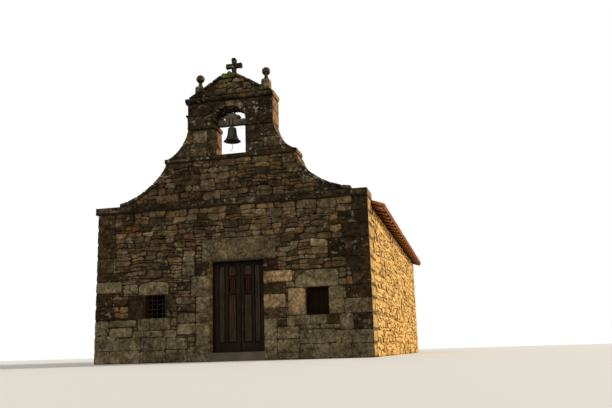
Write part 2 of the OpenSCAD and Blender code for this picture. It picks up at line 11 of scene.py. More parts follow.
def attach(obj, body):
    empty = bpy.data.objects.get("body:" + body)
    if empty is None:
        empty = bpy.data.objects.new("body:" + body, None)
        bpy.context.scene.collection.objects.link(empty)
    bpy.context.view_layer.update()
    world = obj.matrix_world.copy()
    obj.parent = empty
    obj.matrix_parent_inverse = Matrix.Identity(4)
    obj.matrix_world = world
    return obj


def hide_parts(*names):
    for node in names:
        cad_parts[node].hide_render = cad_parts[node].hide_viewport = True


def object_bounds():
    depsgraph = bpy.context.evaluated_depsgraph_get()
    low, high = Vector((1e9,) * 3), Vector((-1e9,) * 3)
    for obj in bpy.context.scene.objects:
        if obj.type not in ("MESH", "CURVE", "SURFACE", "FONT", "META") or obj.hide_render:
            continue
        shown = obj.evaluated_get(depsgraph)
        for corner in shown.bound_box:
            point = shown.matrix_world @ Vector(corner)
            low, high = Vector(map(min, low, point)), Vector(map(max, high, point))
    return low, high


NOISE_SEED = 5

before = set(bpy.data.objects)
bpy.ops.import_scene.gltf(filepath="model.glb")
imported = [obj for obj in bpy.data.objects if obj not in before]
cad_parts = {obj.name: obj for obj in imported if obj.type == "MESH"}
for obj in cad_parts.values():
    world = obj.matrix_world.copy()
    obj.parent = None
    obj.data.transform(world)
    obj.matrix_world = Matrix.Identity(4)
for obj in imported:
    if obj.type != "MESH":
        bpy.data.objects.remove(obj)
size_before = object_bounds()
LIMITS = [np.array(corner) for corner in size_before]
noise.seed_set(NOISE_SEED)  # noise_vector takes its offsets from this; unset, they would differ in each run

# Sizes in metres, as in the CAD: x from the middle of the front, y from its face, z from the ground
HALF_W, LEN, FRONT_T = 3.4, 12.75, 0.72
YF = -6.3975  # the front's face in the row frame
STRING1, STRING2 = (3.66, 3.83), (4.84, 4.945)  # the string courses, foot and top
BX, BELFRY_W, FOOT_W, BELFRY_T = 0.08, 1.106, 1.675, 0.53  # the belfry's middle, half widths, thickness
IMPOST, CORNICE, CORNICE_TOP = 5.64, 6.34, 6.5
ARCH_R, SPRING, RING_T = 0.402, 5.84, 0.118
RISE, EAVE_Z, EAVE_X = 0.33, 3.5, 3.724
TILE_BED = 0.112  # from the rafters' top line to the bed of the tiles
APEX = (-0.21, 0.16, 6.92, 7.06)  # the block under the cross: x0, x1, z0, z1
BELL_X = 0.05
CORNER_Y = 0.5  # where the eaves start
LEAF_Y = YF + 0.23  # the outer face of the door leaves
SIDE_WINDOW = (6.36, 7.24, 1.02, 1.9)  # with its frame: y0, y1, z0, z1

# The camera, fitted to points of the photo
YAW, PITCH, ROLL = (math.radians(a) for a in (12.97, 12.05, -1.68))
FOCAL_PX, IMAGE_PX, SENSOR_MM = 690, 612, 36
EYE = (5.507, -15.431, 0.173)


def at(x, y, z):
    """A point with y counted from the front's face, in the row frame."""
    return (x, YF + y, z)


def added(name, data):
    ob = bpy.data.objects.new(name, data)
    bpy.context.collection.objects.link(ob)
    return ob


def place_camera():
    data = bpy.data.cameras.new("camera")
    data.sensor_width = SENSOR_MM
    data.lens = FOCAL_PX / IMAGE_PX * SENSOR_MM
    data.clip_end = 200
    cam = added("camera", data)
    turn = Matrix.Rotation(YAW, 4, "Z") @ Matrix.Rotation(math.pi / 2 + PITCH, 4, "X") @ Matrix.Rotation(ROLL, 4, "Z")
    cam.matrix_world = Matrix.Translation(at(*EYE)) @ turn
    bpy.context.scene.camera = cam


place_camera()


# Materials
class Nodes:
    """The node tree of a material or world."""

    def __init__(self, owner, output):
        owner.use_nodes = True
        self.tree = owner.node_tree
        self.tree.nodes.clear()
        self.out = self.node(output)

    def node(self, kind, ins=None, **props):
        """A new node. Ins maps its inputs to sockets or values."""
        n = self.tree.nodes.new("ShaderNode" + kind)
        for k, v in props.items():
            setattr(n, k, v)
        for k, v in (ins or {}).items():
            if isinstance(v, bpy.types.NodeSocket):
                self.tree.links.new(v, n.inputs[k])
            else:
                n.inputs[k].default_value = v
        return n

    def surface(self, shader):
        self.tree.links.new(shader.outputs[0], self.out.inputs[0])

    def math(self, operation, *ins):
        return self.node("Math", dict(enumerate(ins)), operation=operation).outputs[0]

    def mul(self, *socks):
        return reduce(lambda a, b: self.math("MULTIPLY", a, b), socks)


def opaque(colour):
    return colour if isinstance(colour, bpy.types.NodeSocket) else (*colour, 1)


class Look(Nodes):
    """A material. Its methods add nodes and give their output sockets."""

    def __init__(self, name, specular=0.5):
        self.material = bpy.data.materials.new(name)
        super().__init__(self.material, "OutputMaterial")
        self.bsdf = self.node("BsdfPrincipled", {"Specular IOR Level": specular})
        self.surface(self.bsdf)

    @cached_property
    def vec(self):
        return self.node("TexCoord").outputs["Object"]

    @cached_property
    def place(self):
        return self.node("SeparateXYZ", {0: self.vec}).outputs

    @cached_property
    def normal(self):
        return self.node("SeparateXYZ", {0: self.node("NewGeometry").outputs["Normal"]}).outputs

    def tone(self):
        """The mesh's tone attribute: each stone's or tile's own value, hue and brightness factor, and how far out a
        point is.
        """
        attr = self.node("Attribute", attribute_name="tone")
        return (*self.node("SeparateColor", {0: attr.outputs["Color"]}).outputs, attr.outputs["Alpha"])

    def spread(self, sock, lo, hi, to_lo=0, to_hi=1):
        return self.node("MapRange", {"Value": sock, "From Min": lo, "From Max": hi, "To Min": to_lo,
                                      "To Max": to_hi}).outputs[0]

    def cloud(self, scale, detail, rough, distort=0.0, vec=None):
        return self.node("TexNoise", {"Vector": vec or self.vec, "Scale": scale, "Detail": detail,
                                      "Roughness": rough, "Distortion": distort}).outputs[0]

    def mixed(self, fac, a, b, blend="MIX"):
        return self.node("Mix", {0: fac, 6: opaque(a), 7: opaque(b)}, data_type="RGBA", blend_type=blend).outputs[2]

    def shaded(self, colour, level):
        grey = self.node("CombineColor", {0: level, 1: level, 2: level}).outputs[0]
        return self.mixed(1.0, colour, grey, "MULTIPLY")

    def ramp(self, fac, colours):
        n = self.node("ValToRGB", {0: fac})
        els = n.color_ramp.elements
        while len(els) < len(colours):
            els.new(0.5)
        for i, c in enumerate(colours):
            els[i].position = i / (len(colours) - 1)
            els[i].color = opaque(c)
        return n.outputs[0]

    def painted_sun_side(self):
        """How far a face takes the painted sunlight: towards +X, but not in the shaded left window and bell arch."""
        x, _, z = self.place
        no_left_window = self.math("MAXIMUM", self.spread(x, -0.75, -0.7), self.spread(z, 3.95, 4.05))
        no_arch = self.math("MAXIMUM", self.spread(x, 0.85, 0.9), self.spread(z, 5.86, 5.92, 1, 0))
        return self.mul(self.spread(self.normal[0], 0.86, 0.97, 0, 0.92), no_left_window, no_arch)

    def done(self, colour, roughness, heights, strength, distance):
        """Connects the colour, the roughness and the heights as bump, and gives the material."""
        total = reduce(lambda a, b: self.math("ADD", a, b), heights)
        bump = self.node("Bump", {"Height": total, "Strength": strength, "Distance": distance}).outputs[0]
        for name, sock in (("Base Color", colour), ("Roughness", roughness), ("Normal", bump)):
            self.tree.links.new(sock, self.bsdf.inputs[name])
        return self.material


ORANGE_LICHEN, PALE_LICHEN, MOSS = (0.2, 0.085, 0.018), (0.3, 0.27, 0.19), (0.055, 0.07, 0.018)


def stone_look(name, palette, painted_sun_colour, lichen=0.0, orange=0.0, moss=0.0, stain=(0.62, 1.25), value=(0.55, 1.4),
               contrast=0.4, mottled=0.6, crevice_shade=0.22):
    """Weathered stone. The third colour is painted sunlight: a paler golden colour on the faces towards +X."""
    m = Look(name, 0.03)
    own, hue, brightness, outward = m.tone()
    up = m.normal[2]
    level = m.mul(m.spread(own, 0, 1, *value), m.spread(m.cloud(2.4, 4, 0.6, 0.3), 0.32, 0.66, *stain), brightness)
    # Painted sunlight: faces towards +X take the paler golden colour.
    col = m.mixed(m.painted_sun_side(), m.shaded(m.ramp(hue, palette), level), painted_sun_colour)
    mottle, grain = m.cloud(7.0, 6, 0.66), m.cloud(60.0, 3, 0.6)
    blotch, pit = m.cloud(17.0, 4, 0.7, 0.4), m.cloud(31.0, 4, 0.7)
    col = m.shaded(col, m.mul(
        m.spread(mottle, 0.34, 0.66, 1 - mottled, 1 + mottled),
        m.spread(blotch, 0.34, 0.66, 1 - contrast, 1 + contrast),
        m.spread(grain, 0.3, 0.7, 0.82, 1.15), m.spread(pit, 0.36, 0.46, 0.6, 1.0),
        # Faces that look down are darkened: painted shade under ledges. Faces that look up are paler.
        m.spread(up, -0.75, -0.15, 0.3, 1.0), m.spread(up, 0.2, 0.9, 1.0, 1.5),
        # Points sunk into the joints are darkened: painted shade between the stones.
        m.spread(outward, 0, 1, crevice_shade, 1.0)))
    if orange:
        spots = m.spread(m.cloud(2.7, 4, 0.62), 0.6, 0.69)
        col = m.mixed(m.mul(spots, orange), col, ORANGE_LICHEN)
    if lichen:
        spots, region = m.spread(m.cloud(13.0, 2, 0.5), 0.57, 0.63), m.spread(m.cloud(2.2, 3, 0.6), 0.46, 0.6)
        col = m.mixed(m.mul(spots, region, lichen), col, PALE_LICHEN)
    if moss:
        wet = m.spread(m.cloud(5.0, 5, 0.65), 0.4, 0.56)
        col = m.mixed(m.mul(m.spread(up, 0.35, 0.8), wet, moss), col, MOSS)
    heights = [m.mul(mottle, 1.2), m.mul(m.cloud(24.0, 5, 0.65), 0.9), m.mul(grain, 0.35)]
    return m.done(col, m.spread(mottle, 0.3, 0.7, 0.78, 0.96), heights, 0.8, 0.014)


def mortar_look(name, colour, dark, reveal_shade=1.0, painted_sun_colour=(0.42, 0.26, 0.1)):
    """Joints and plain stone. Faces towards +X take a paler colour: painted sunlight.
    The fourth argument darkens the faces that look along the walls, as in the side windows: painted shade.
    """
    m = Look(name, 0.03)
    big, fine = m.cloud(2.0, 5, 0.6), m.cloud(45.0, 4, 0.65)
    fac = m.mul(m.spread(big, 0.35, 0.65, 0.3, 1.0), m.spread(fine, 0.3, 0.7, 0.7, 1.1))
    col = m.mixed(m.painted_sun_side(), m.mixed(fac, dark, colour), painted_sun_colour)
    if reveal_shade < 1:
        # Painted shade on faces that look along the walls, as in the side windows.
        col = m.shaded(col, m.spread(m.math("ABSOLUTE", m.normal[1]), 0.6, 0.9, 1.0, reveal_shade))
    return m.done(col, m.spread(fine, 0.3, 0.7, 0.86, 0.98), [big, m.mul(fine, 0.5)], 0.7, 0.01)


def wood_look(name, dark, light, axis, ring=18.0, gloss=0.6, seam=None, shine=0.05, face=None, ends=None):
    """Weathered wood with its grain along an axis. Seam is the boards' width and the axis across them. Face is
    the y of a panelled front, whose raised fields are paler and whose deep grooves are darkened: painted shade.
    Ends is the paler colour of the rafter ends and tails: their bleaching, and painted sunlight."""
    m = Look(name, shine)
    scale = [ring, ring, ring]
    scale[axis] = ring / 14
    stretched = m.node("Mapping", {0: m.vec, 3: tuple(scale)}).outputs[0]
    grain, fibre = m.cloud(1.6, 6, 0.65, 0.8, stretched), m.cloud(6.0, 4, 0.7, 0.3, stretched)
    fac = m.mul(m.spread(grain, 0.32, 0.68, 0.1, 1.0), m.spread(fibre, 0.3, 0.7, 0.7, 1.15))
    col = m.shaded(m.mixed(fac, dark, light), m.spread(m.cloud(2.5, 4, 0.6), 0.35, 0.65, 0.78, 1.15))
    heights = [m.mul(grain, 0.8), m.mul(fibre, 0.5)]
    if seam:
        width, across = seam
        part = m.math("FRACT", m.math("DIVIDE", m.place[across], width))
        line = m.spread(m.math("ABSOLUTE", m.math("SUBTRACT", part, 0.5)), 0.455, 0.49, 1, 0)
        col = m.shaded(col, m.spread(line, 0, 1, 0.25, 1))
        heights.append(m.mul(line, 1.5))
    if ends:
        reach = m.math("ABSOLUTE", m.place[0])
        # The ends towards X and the tails take the paler colour: their bleaching, and painted sunlight.
        col = m.mixed(m.math("MAXIMUM", m.spread(m.math("ABSOLUTE", m.normal[0]), 0.9, 0.94, 0, 0.6),
                             m.spread(reach, 3.52, 3.66, 0, 0.45)), col, ends)
        above = m.math("MULTIPLY_ADD", reach, RISE, m.place[2])  # the same all along a rafter's underside
        foot = EAVE_Z + HALF_W * RISE
        # Darker next to the wall and towards the boards: painted shade under the roof.
        col = m.shaded(col, m.mul(m.spread(reach, 3.42, 3.54, 0.4, 1.0),
                                  m.spread(above, foot + 0.022, foot + 0.055, 1.0, 0.1)))
    if face:
        x, deep, z = m.place
        # The deep grooves, the top under the lintel and the left edge by the jamb are darkened: painted shade and
        # shadow.
        col = m.shaded(col, m.mul(m.spread(deep, face + 0.001, face + 0.003, 1.0, 2.1),
                                  m.spread(deep, face + 0.006, face + 0.01, 1.0, 0.1),
                                  m.spread(z, 2.26, 2.31, 1.0, 0.3), m.spread(x, -0.43, -0.36, 0.35, 1.0)))
    return m.done(col, m.spread(grain, 0.3, 0.7, gloss - 0.08, gloss + 0.15), heights, 0.55, 0.006)


def metal_look(name, base, rust, metallic, rough):
    m = Look(name, 0.15)
    big, fine = m.cloud(9.0, 6, 0.65), m.cloud(90.0, 4, 0.65)
    rusty = m.mul(m.spread(big, 0.42, 0.62), 0.55)
    col = m.shaded(m.mixed(rusty, base, rust), m.spread(fine, 0.3, 0.7, 0.78, 1.15))
    m.tree.links.new(m.spread(rusty, 0, 1, metallic, metallic * 0.3), m.bsdf.inputs["Metallic"])
    return m.done(col, m.spread(big, 0.3, 0.7, rough - 0.08, rough + 0.2), [big, m.mul(fine, 0.4)], 0.4, 0.003)


def tile_look():
    m = Look("roof_tile", 0.2)
    own, hue, brightness, _ = m.tone()
    mottle, fine = m.cloud(14.0, 5, 0.6), m.cloud(80.0, 3, 0.6)
    base = m.ramp(hue, [(0.33, 0.054, 0.016), (0.43, 0.08, 0.023), (0.47, 0.11, 0.035), (0.37, 0.06, 0.018),
                        (0.49, 0.155, 0.06)])
    col = m.shaded(base, m.mul(m.spread(own, 0, 1, 0.7, 1.15), m.spread(mottle, 0.3, 0.7, 0.75, 1.18),
                               m.spread(fine, 0.3, 0.7, 0.9, 1.08), brightness))
    spots, region = m.cloud(21.0, 4, 0.6), m.cloud(1.1, 3, 0.6)
    lichen = m.mul(m.spread(spots, 0.56, 0.62, 0, 0.5), m.spread(region, 0.42, 0.6, 0.1, 1))
    grime = m.mul(m.spread(region, 0.5, 0.68, 0, 0.55), m.spread(mottle, 0.4, 0.6))
    col = m.mixed(grime, m.mixed(lichen, col, (0.36, 0.29, 0.17)), (0.1, 0.055, 0.03))
    return m.done(col, m.spread(mottle, 0.3, 0.7, 0.75, 0.93), [mottle, m.mul(fine, 0.5)], 0.5, 0.004)


def rope_look():
    m = Look("rope")
    twist = m.node("TexWave", {"Vector": m.vec, "Scale": 60.0, "Distortion": 1.5}).outputs[1]
    fine = m.cloud(300.0, 3, 0.6)
    col = m.mixed(m.mul(twist, m.spread(fine, 0.3, 0.7, 0.7, 1.1)), (0.16, 0.12, 0.09), (0.46, 0.38, 0.3))
    return m.done(col, m.spread(fine, 0.3, 0.7, 0.85, 0.98), [twist, m.mul(fine, 0.4)], 0.6, 0.002)


# Each stone look's third colour is painted sunlight: the paler golden colour of its faces towards +X.
RUBBLE = stone_look(
    "rubble", [(0.057, 0.039, 0.019), (0.109, 0.071, 0.033), (0.091, 0.07, 0.04), (0.138, 0.086, 0.035),
               (0.077, 0.058, 0.033), (0.148, 0.109, 0.058), (0.108, 0.057, 0.026), (0.104, 0.078, 0.042)],
    (0.5, 0.32, 0.14), lichen=0.4, orange=0.45, value=(0.42, 1.5), crevice_shade=0.3)
WARM = stone_look(
    "golden_rubble", [(0.6, 0.34, 0.11), (0.66, 0.42, 0.16), (0.42, 0.23, 0.085), (0.72, 0.48, 0.2),
                      (0.5, 0.33, 0.15), (0.6, 0.28, 0.085), (0.36, 0.22, 0.1)],
    (0.68, 0.415, 0.13), stain=(0.8, 1.15), value=(0.5, 1.3), mottled=0.5, crevice_shade=0.5)
DRESSED = stone_look(
    "dressed", [(0.042, 0.027, 0.012), (0.08, 0.054, 0.025), (0.15, 0.12, 0.066), (0.195, 0.148, 0.078),
                (0.265, 0.172, 0.082)],
    (0.6, 0.37, 0.135), lichen=0.4, orange=0.25, stain=(0.5, 1.35), value=(0.6, 1.25), mottled=0.55, contrast=0.55)
DARK = stone_look(
    "belfry", [(0.034, 0.024, 0.014), (0.056, 0.039, 0.022), (0.048, 0.037, 0.023), (0.11, 0.081, 0.045),
               (0.05, 0.031, 0.015)],
    (0.285, 0.163, 0.074), lichen=0.75, orange=0.38, moss=0.8, stain=(0.5, 1.35), contrast=0.6, mottled=0.7)
MOSSY = stone_look(
    "mossy_stone", [(0.052, 0.058, 0.016), (0.085, 0.09, 0.026), (0.045, 0.04, 0.018)],
    (0.22, 0.16, 0.06), lichen=0.3, orange=0.2, moss=0.9, contrast=0.5)
MORTAR = mortar_look("mortar", (0.034, 0.024, 0.013), (0.01, 0.007, 0.004), painted_sun_colour=(0.13, 0.075, 0.032))
MORTAR_WARM = mortar_look("warm_mortar", (0.42, 0.26, 0.1), (0.2, 0.12, 0.05), reveal_shade=0.15)
# Darker stone for the window lintels, jambs and sills: painted shade of the window recesses.
SHADED = mortar_look("shaded_window_stone", (0.07, 0.05, 0.028), (0.03, 0.021, 0.012))
FLAGS = mortar_look("floor_stone", (0.15, 0.125, 0.085), (0.08, 0.064, 0.042))
TIMBER = wood_look("roof_timber", (0.05, 0.018, 0.007), (0.37, 0.132, 0.04), 0, gloss=0.8, ends=(0.62, 0.33, 0.115))
BOARDS = wood_look("roof_boards", (0.015, 0.006, 0.003), (0.07, 0.026, 0.01), 1, gloss=0.8, seam=(0.12, 0))
FILLET = wood_look("eave_fillet", (0.12, 0.06, 0.025), (0.44, 0.25, 0.11), 1, gloss=0.8)
DOOR = wood_look("door_wood", (0.006, 0.004, 0.0025), (0.034, 0.022, 0.015), 2, ring=26.0, gloss=0.8, face=LEAF_Y)
SLATS = wood_look("slat_wood", (0.016, 0.007, 0.004), (0.07, 0.03, 0.017), 2, ring=26.0, gloss=0.75)
SHUTTER = wood_look("shutter_wood", (0.004, 0.0025, 0.001), (0.016, 0.009, 0.004), 2, gloss=0.75, shine=0.02,
                    seam=(0.135, 0))
YOKE = wood_look("yoke_wood", (0.036, 0.029, 0.022), (0.17, 0.138, 0.106), 0, gloss=0.8)
IRON = metal_look("iron", (0.02, 0.018, 0.016), (0.075, 0.032, 0.016), 0.25, 0.75)
BRONZE = metal_look("bronze", (0.042, 0.037, 0.027), (0.045, 0.054, 0.04), 0.4, 0.5)
TILE, ROPE = tile_look(), rope_look()


def place_rope():
    """The rope on the clapper's end, a smooth curve through the points of its CAD solid."""
    raw = [(0, 0, 0), (1, 0, -40), (4, 0, -80), (6, 2, -120), (4, 4, -155), (-4, 5, -185), (-18, 5, -210),
           (-36, 4, -226), (-56, 2, -234)]  # millimetres from the clapper's end
    pts = [Vector(p) / 1000 + Vector(at(BELL_X, BELFRY_T / 2, 5.338)) for p in raw]
    line = []
    for i in range(len(pts) - 1):
        p0, p1, p2, p3 = pts[max(i - 1, 0)], pts[i], pts[i + 1], pts[min(i + 2, len(pts) - 1)]
        for k in range(4):
            t = k / 4
            line.append(0.5 * (2 * p1 + (p2 - p0) * t + (2 * p0 - 5 * p1 + 4 * p2 - p3) * t * t
                               + (3 * p1 - p0 - 3 * p2 + p3) * t ** 3))
    line.append(pts[-1])
    data = bpy.data.curves.new("hanging_rope", "CURVE")
    data.dimensions = "3D"
    data.bevel_depth = 0.006
    data.bevel_resolution = 4
    data.use_fill_caps = True
    spline = data.splines.new("POLY")
    spline.points.add(len(line) - 1)
    for sp, p in zip(spline.points, line):
        sp.co = (*p, 1)
    data.materials.append(ROPE)
    rope = added("hanging_rope", data)
    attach(rope, "clapper_and_rope")
    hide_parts("bell_rope")


place_rope()


# Shapes
PLAIN = (0.5, 0.5, 1.0, 1.0)  # the tone of pieces whose material doesn't read it


class Pile:
    """Many small solids in one mesh, each point with a tone: value, hue, brightness factor and how far out it is."""

    def __init__(self):
        self.verts, self.quads, self.tris, self.tones, self.count = [], [], [], [], 0

    def add(self, verts, quads, tris=(), tone=PLAIN):
        self.verts.append(np.asarray(verts, float))
        self.quads.append(np.reshape(quads, (-1, 4)).astype(int) + self.count)
        self.tris.append(np.reshape(tris, (-1, 3)).astype(int) + self.count)
        self.tones.append(np.broadcast_to(np.asarray(tone, float), (len(verts), 4)))
        self.count += len(verts)

    def piece(self, name, material, slot, body="chapel", replaces=None, smooth=True):
        """Makes the pile an object, cut to the CAD's box."""
        verts = np.clip(np.concatenate(self.verts), *LIMITS)
        faces = [f for part in self.quads + self.tris for f in part.tolist()]
        me = bpy.data.meshes.new(name)
        me.from_pydata(verts, [], faces, shade_flat=not smooth)
        me.validate()
        tone = me.attributes.new("tone", "FLOAT_COLOR", "POINT")
        tone.data.foreach_set("color", np.concatenate(self.tones).ravel())
        me.materials.append(material)
        ob = added(name, me)
        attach(ob, body)
        if replaces:
            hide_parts(replaces)


class Face:
    """A wall face from x, y on the ground: u along it, v up, w out of it."""

    def __init__(self, x, y, along):
        self.o, self.u, self.v = (np.array(a, float) for a in (at(x, y, 0), along, (0, 0, 1)))
        self.w = np.cross(self.u, self.v)

    def world(self, uvw):
        return self.o + uvw[:, :1] * self.u + uvw[:, 1:2] * self.v + uvw[:, 2:] * self.w


FRONT, ALONG_X = Face(0, 0, (1, 0, 0)), Face(0, 0, (0, 1, 0))
BACK, GABLE_BACK, BELFRY_BACK = (Face(0, y, (-1, 0, 0)) for y in (LEN, FRONT_T, BELFRY_T))
RIGHT, LEFT = Face(HALF_W, 0, (0, 1, 0)), Face(-HALF_W, LEN, (0, -1, 0))


def resample(poly, seg, least=1):
    """A closed outline with points about seg apart."""
    out = []
    for i, a in enumerate(poly):
        b = poly[(i + 1) % len(poly)]
        n = max(least, round(math.dist(a, b) / seg))
        out += [(a[0] + (b[0] - a[0]) * k / n, a[1] + (b[1] - a[1]) * k / n) for k in range(n)]
    return np.array(out)


def inset(pts, d):
    along = np.roll(pts, -1, 0) - np.roll(pts, 1, 0)
    normal = np.stack([-along[:, 1], along[:, 0]], 1)
    normal /= np.maximum(np.linalg.norm(normal, axis=1, keepdims=True), 1e-9)
    return pts + normal * d


def area(p):
    q = np.roll(p, -1, 0)
    return 0.5 * abs(np.sum(p[:, 0] * q[:, 1] - q[:, 0] * p[:, 1]))


def rect(x0, x1, z0, z1, gap=0.0, gap_z=None):
    """A rectangle with a gap left all round."""
    up = gap if gap_z is None else gap_z
    return [(x0 + gap, z0 + up), (x1 - gap, z0 + up), (x1 - gap, z1 - up), (x0 + gap, z1 - up)]


def mirrored(poly, side):
    """An outline for the right side, or for the left one if side is -1, with x counted from the middle."""
    poly = [(side * x, z) for x, z in poly]
    return poly if side > 0 else poly[::-1]


def circle(r, sides):
    return [(r * math.cos(a), r * math.sin(a)) for a in (2 * math.pi * k / sides for k in range(sides))]


def rough(points, amp, scale, seed):
    """Small displacement of points by noise."""
    off = Vector(seed)
    return np.array([noise.noise_vector(Vector(p) * scale + off) for p in points]) * amp


def ring_quads(n, count):
    """Faces between count rings of n points each."""
    ring = np.arange(n)
    nxt = np.roll(ring, -1)
    return np.concatenate([np.column_stack([k * n + ring, k * n + nxt, (k + 1) * n + nxt, (k + 1) * n + ring])
                           for k in range(count - 1)])


def fan(n, first, centre):
    """Faces between a ring of n points, from index first, and the point centre."""
    ring = np.arange(n)
    return np.column_stack([first + ring, first + np.roll(ring, -1), np.full(n, centre)])


def stone(pile, face, outline, lo, hi, rng, edge=0.012, bulge=0.012, amp=0.005, back=False, tilt=0.0, mids=0,
          shade=1.0, hue=None, value=None, soft=True, fill=(0.6, 0.25)):
    """One stone: an outline on a wall face carried from depth lo to hi, with worn edges and a bulging face. Back
    closes it behind, mids adds rings between, fill gives the rings on its face as shares of its outline."""
    pts = np.asarray(outline, float)
    if soft:
        pts = 0.5 * pts + 0.25 * (np.roll(pts, 1, 0) + np.roll(pts, -1, 0))
    n = len(pts)
    mid = pts.mean(0)
    half, full = inset(pts, edge * 0.3), inset(pts, edge)
    rings = []  # outline, depth, how far out
    if back:
        rings += [(mid + (full - mid) * fill[0], lo, 1.0), (full, lo, 1.0), (half, lo + edge * 0.35, 0.9)]
    rings.append((pts, lo + (edge if back else 0), 0.5 if back else 0.0))
    rings += [(pts, lo + (hi - lo) * (k + 1) / (mids + 1), 0.8 if back else 0.3) for k in range(mids)]
    rings += [(pts, hi - edge, 0.6 if back else 0.2), (half, hi - edge * 0.35, 0.9), (full, hi, 1.0)]
    rings += [(mid + (full - mid) * s, hi + bulge * (1 - s * s), 1.0) for s in fill]
    uvw = [np.column_stack([p, np.full(n, w)]) for p, w, _ in rings] + [[[*mid, hi + bulge]]]
    if back:
        uvw.append([[*mid, lo]])
    uvw = np.concatenate(uvw)
    seed = [rng.uniform(-90, 90) for _ in range(3)]
    shift = rough(uvw, amp, 9.0, seed) + rough(uvw, amp * 0.55, 27.0, seed)
    if not back:
        shift[:n] = 0
    uvw = uvw + shift
    if tilt:
        lean = (uvw[:, 0] - mid[0]) * rng.uniform(-tilt, tilt) + (uvw[:, 1] - mid[1]) * rng.uniform(-tilt, tilt)
        lean[:n] = 0
        uvw[:, 2] += np.clip(lean, -0.012, 0.02)
    tris = [fan(n, (len(rings) - 1) * n, len(rings) * n)]
    if back:
        tris.append(fan(n, 0, len(rings) * n + 1)[:, [1, 0, 2]])
    tone = np.ones((len(uvw), 4))
    tone[:, 0] = rng.random() if value is None else value
    tone[:, 1] = rng.random() if hue is None else hue
    tone[:, 2] = shade
    for k, (_, _, outward) in enumerate(rings):
        tone[k * n:(k + 1) * n, 3] = outward
    pile.add(face.world(uvw), ring_quads(n, len(rings)), np.concatenate(tris), tone)


def block(pile, face, poly, lo, hi, rng, seg=0.05, **kw):
    """A dressed stone. A value and a hue that are given vary a little."""
    kw = {"edge": 0.01, "bulge": 0.004, "amp": 0.009, **kw}
    if kw.get("value") is not None:
        kw["value"] = min(max(kw["value"] + rng.uniform(-0.14, 0.14), 0), 1)
        kw["hue"] = min(max(kw["hue"] + rng.uniform(-0.1, 0.1), 0), 1)
    stone(pile, face, resample(poly, seg, 2), lo, hi, rng, **kw)


def corner_stone(pile, face, side, z0, z1, reach, deep, proud, rng, **kw):
    """A quoin that reaches along the face and deep along the side wall. Gives the place it takes."""
    x0, x1 = sorted((side * (HALF_W + 0.012), side * (HALF_W - reach)))
    block(pile, face, rect(x0, x1, z0, z1, 0.003, 0.005), -deep, proud, rng, back=True, mids=3, **kw)
    return max(x0, -HALF_W), z0, min(x1, HALF_W), z1


# Laying rubble
def lay(cell, blocked, size, rng):
    """Splits a wall into stones: first along the edges of what is in the way, then down to the wanted size."""
    tiny = 1e-6
    done, todo = [], [cell]
    while todo:
        u0, v0, u1, v1 = todo.pop()
        hit = [o for o in blocked
               if o[0] < u1 - tiny and o[2] > u0 + tiny and o[1] < v1 - tiny and o[3] > v0 + tiny]
        w, h = u1 - u0, v1 - v0
        if hit:
            us = [e for o in hit for e in (o[0], o[2]) if u0 + tiny < e < u1 - tiny]
            vs = [e for o in hit for e in (o[1], o[3]) if v0 + tiny < e < v1 - tiny]
            if not us and not vs:
                continue
            cut_u = not (vs and (not us or rng.random() < 0.75))
            e = rng.choice(us if cut_u else vs)
        else:
            tw, th = size((u0 + u1) / 2, (v0 + v1) / 2)
            if w > tw * 6 or h > th * 6:
                cut_u, ratio = w / tw > h / th * 1.6, (0.42, 0.58)
            elif w > tw * rng.uniform(1.1, 2.1) or h > th * rng.uniform(1.15, 1.9):
                cut_u, ratio = w / tw > h / th, (0.34, 0.66)
            else:
                done.append((u0, v0, u1, v1))
                continue
            e = u0 + w * rng.uniform(*ratio) if cut_u else v0 + h * rng.uniform(*ratio)
        todo += [(u0, v0, e, v1), (e, v0, u1, v1)] if cut_u else [(u0, v0, u1, e), (u0, e, u1, v1)]
    return done


# Waves of the courses: scale along and up, place in the noise, size along and up
WAVES = ((0.9, 1.1, 3, 0.05, 0.07), (4.2, 6.0, 8, 0.055, 0.05), (11.0, 15.0, 2, 0.022, 0.018))


def warp(pts, cell, blocked, seed):
    """Wavy courses: smooth noise that dies out at the edges of the wall and of what is in the way."""
    out = pts.copy()
    off = Vector((seed * 7.3, seed * 3.1, 0))
    for i, (u, v) in enumerate(pts):
        d = min(u - cell[0], cell[2] - u, v - cell[1], cell[3] - v)
        for o in blocked:
            d = min(d, math.hypot(max(o[0] - u, u - o[2], 0), max(o[1] - v, v - o[3], 0)))
        k = min(max(d / 0.22, 0), 1)
        waves = [(noise.noise_vector(Vector((u * su, v * sv, w)) + off), a, b) for su, sv, w, a, b in WAVES]
        out[i] += (k * sum(n.x * a for n, a, _ in waves), k * sum(n.y * b for n, _, b in waves))
    return out


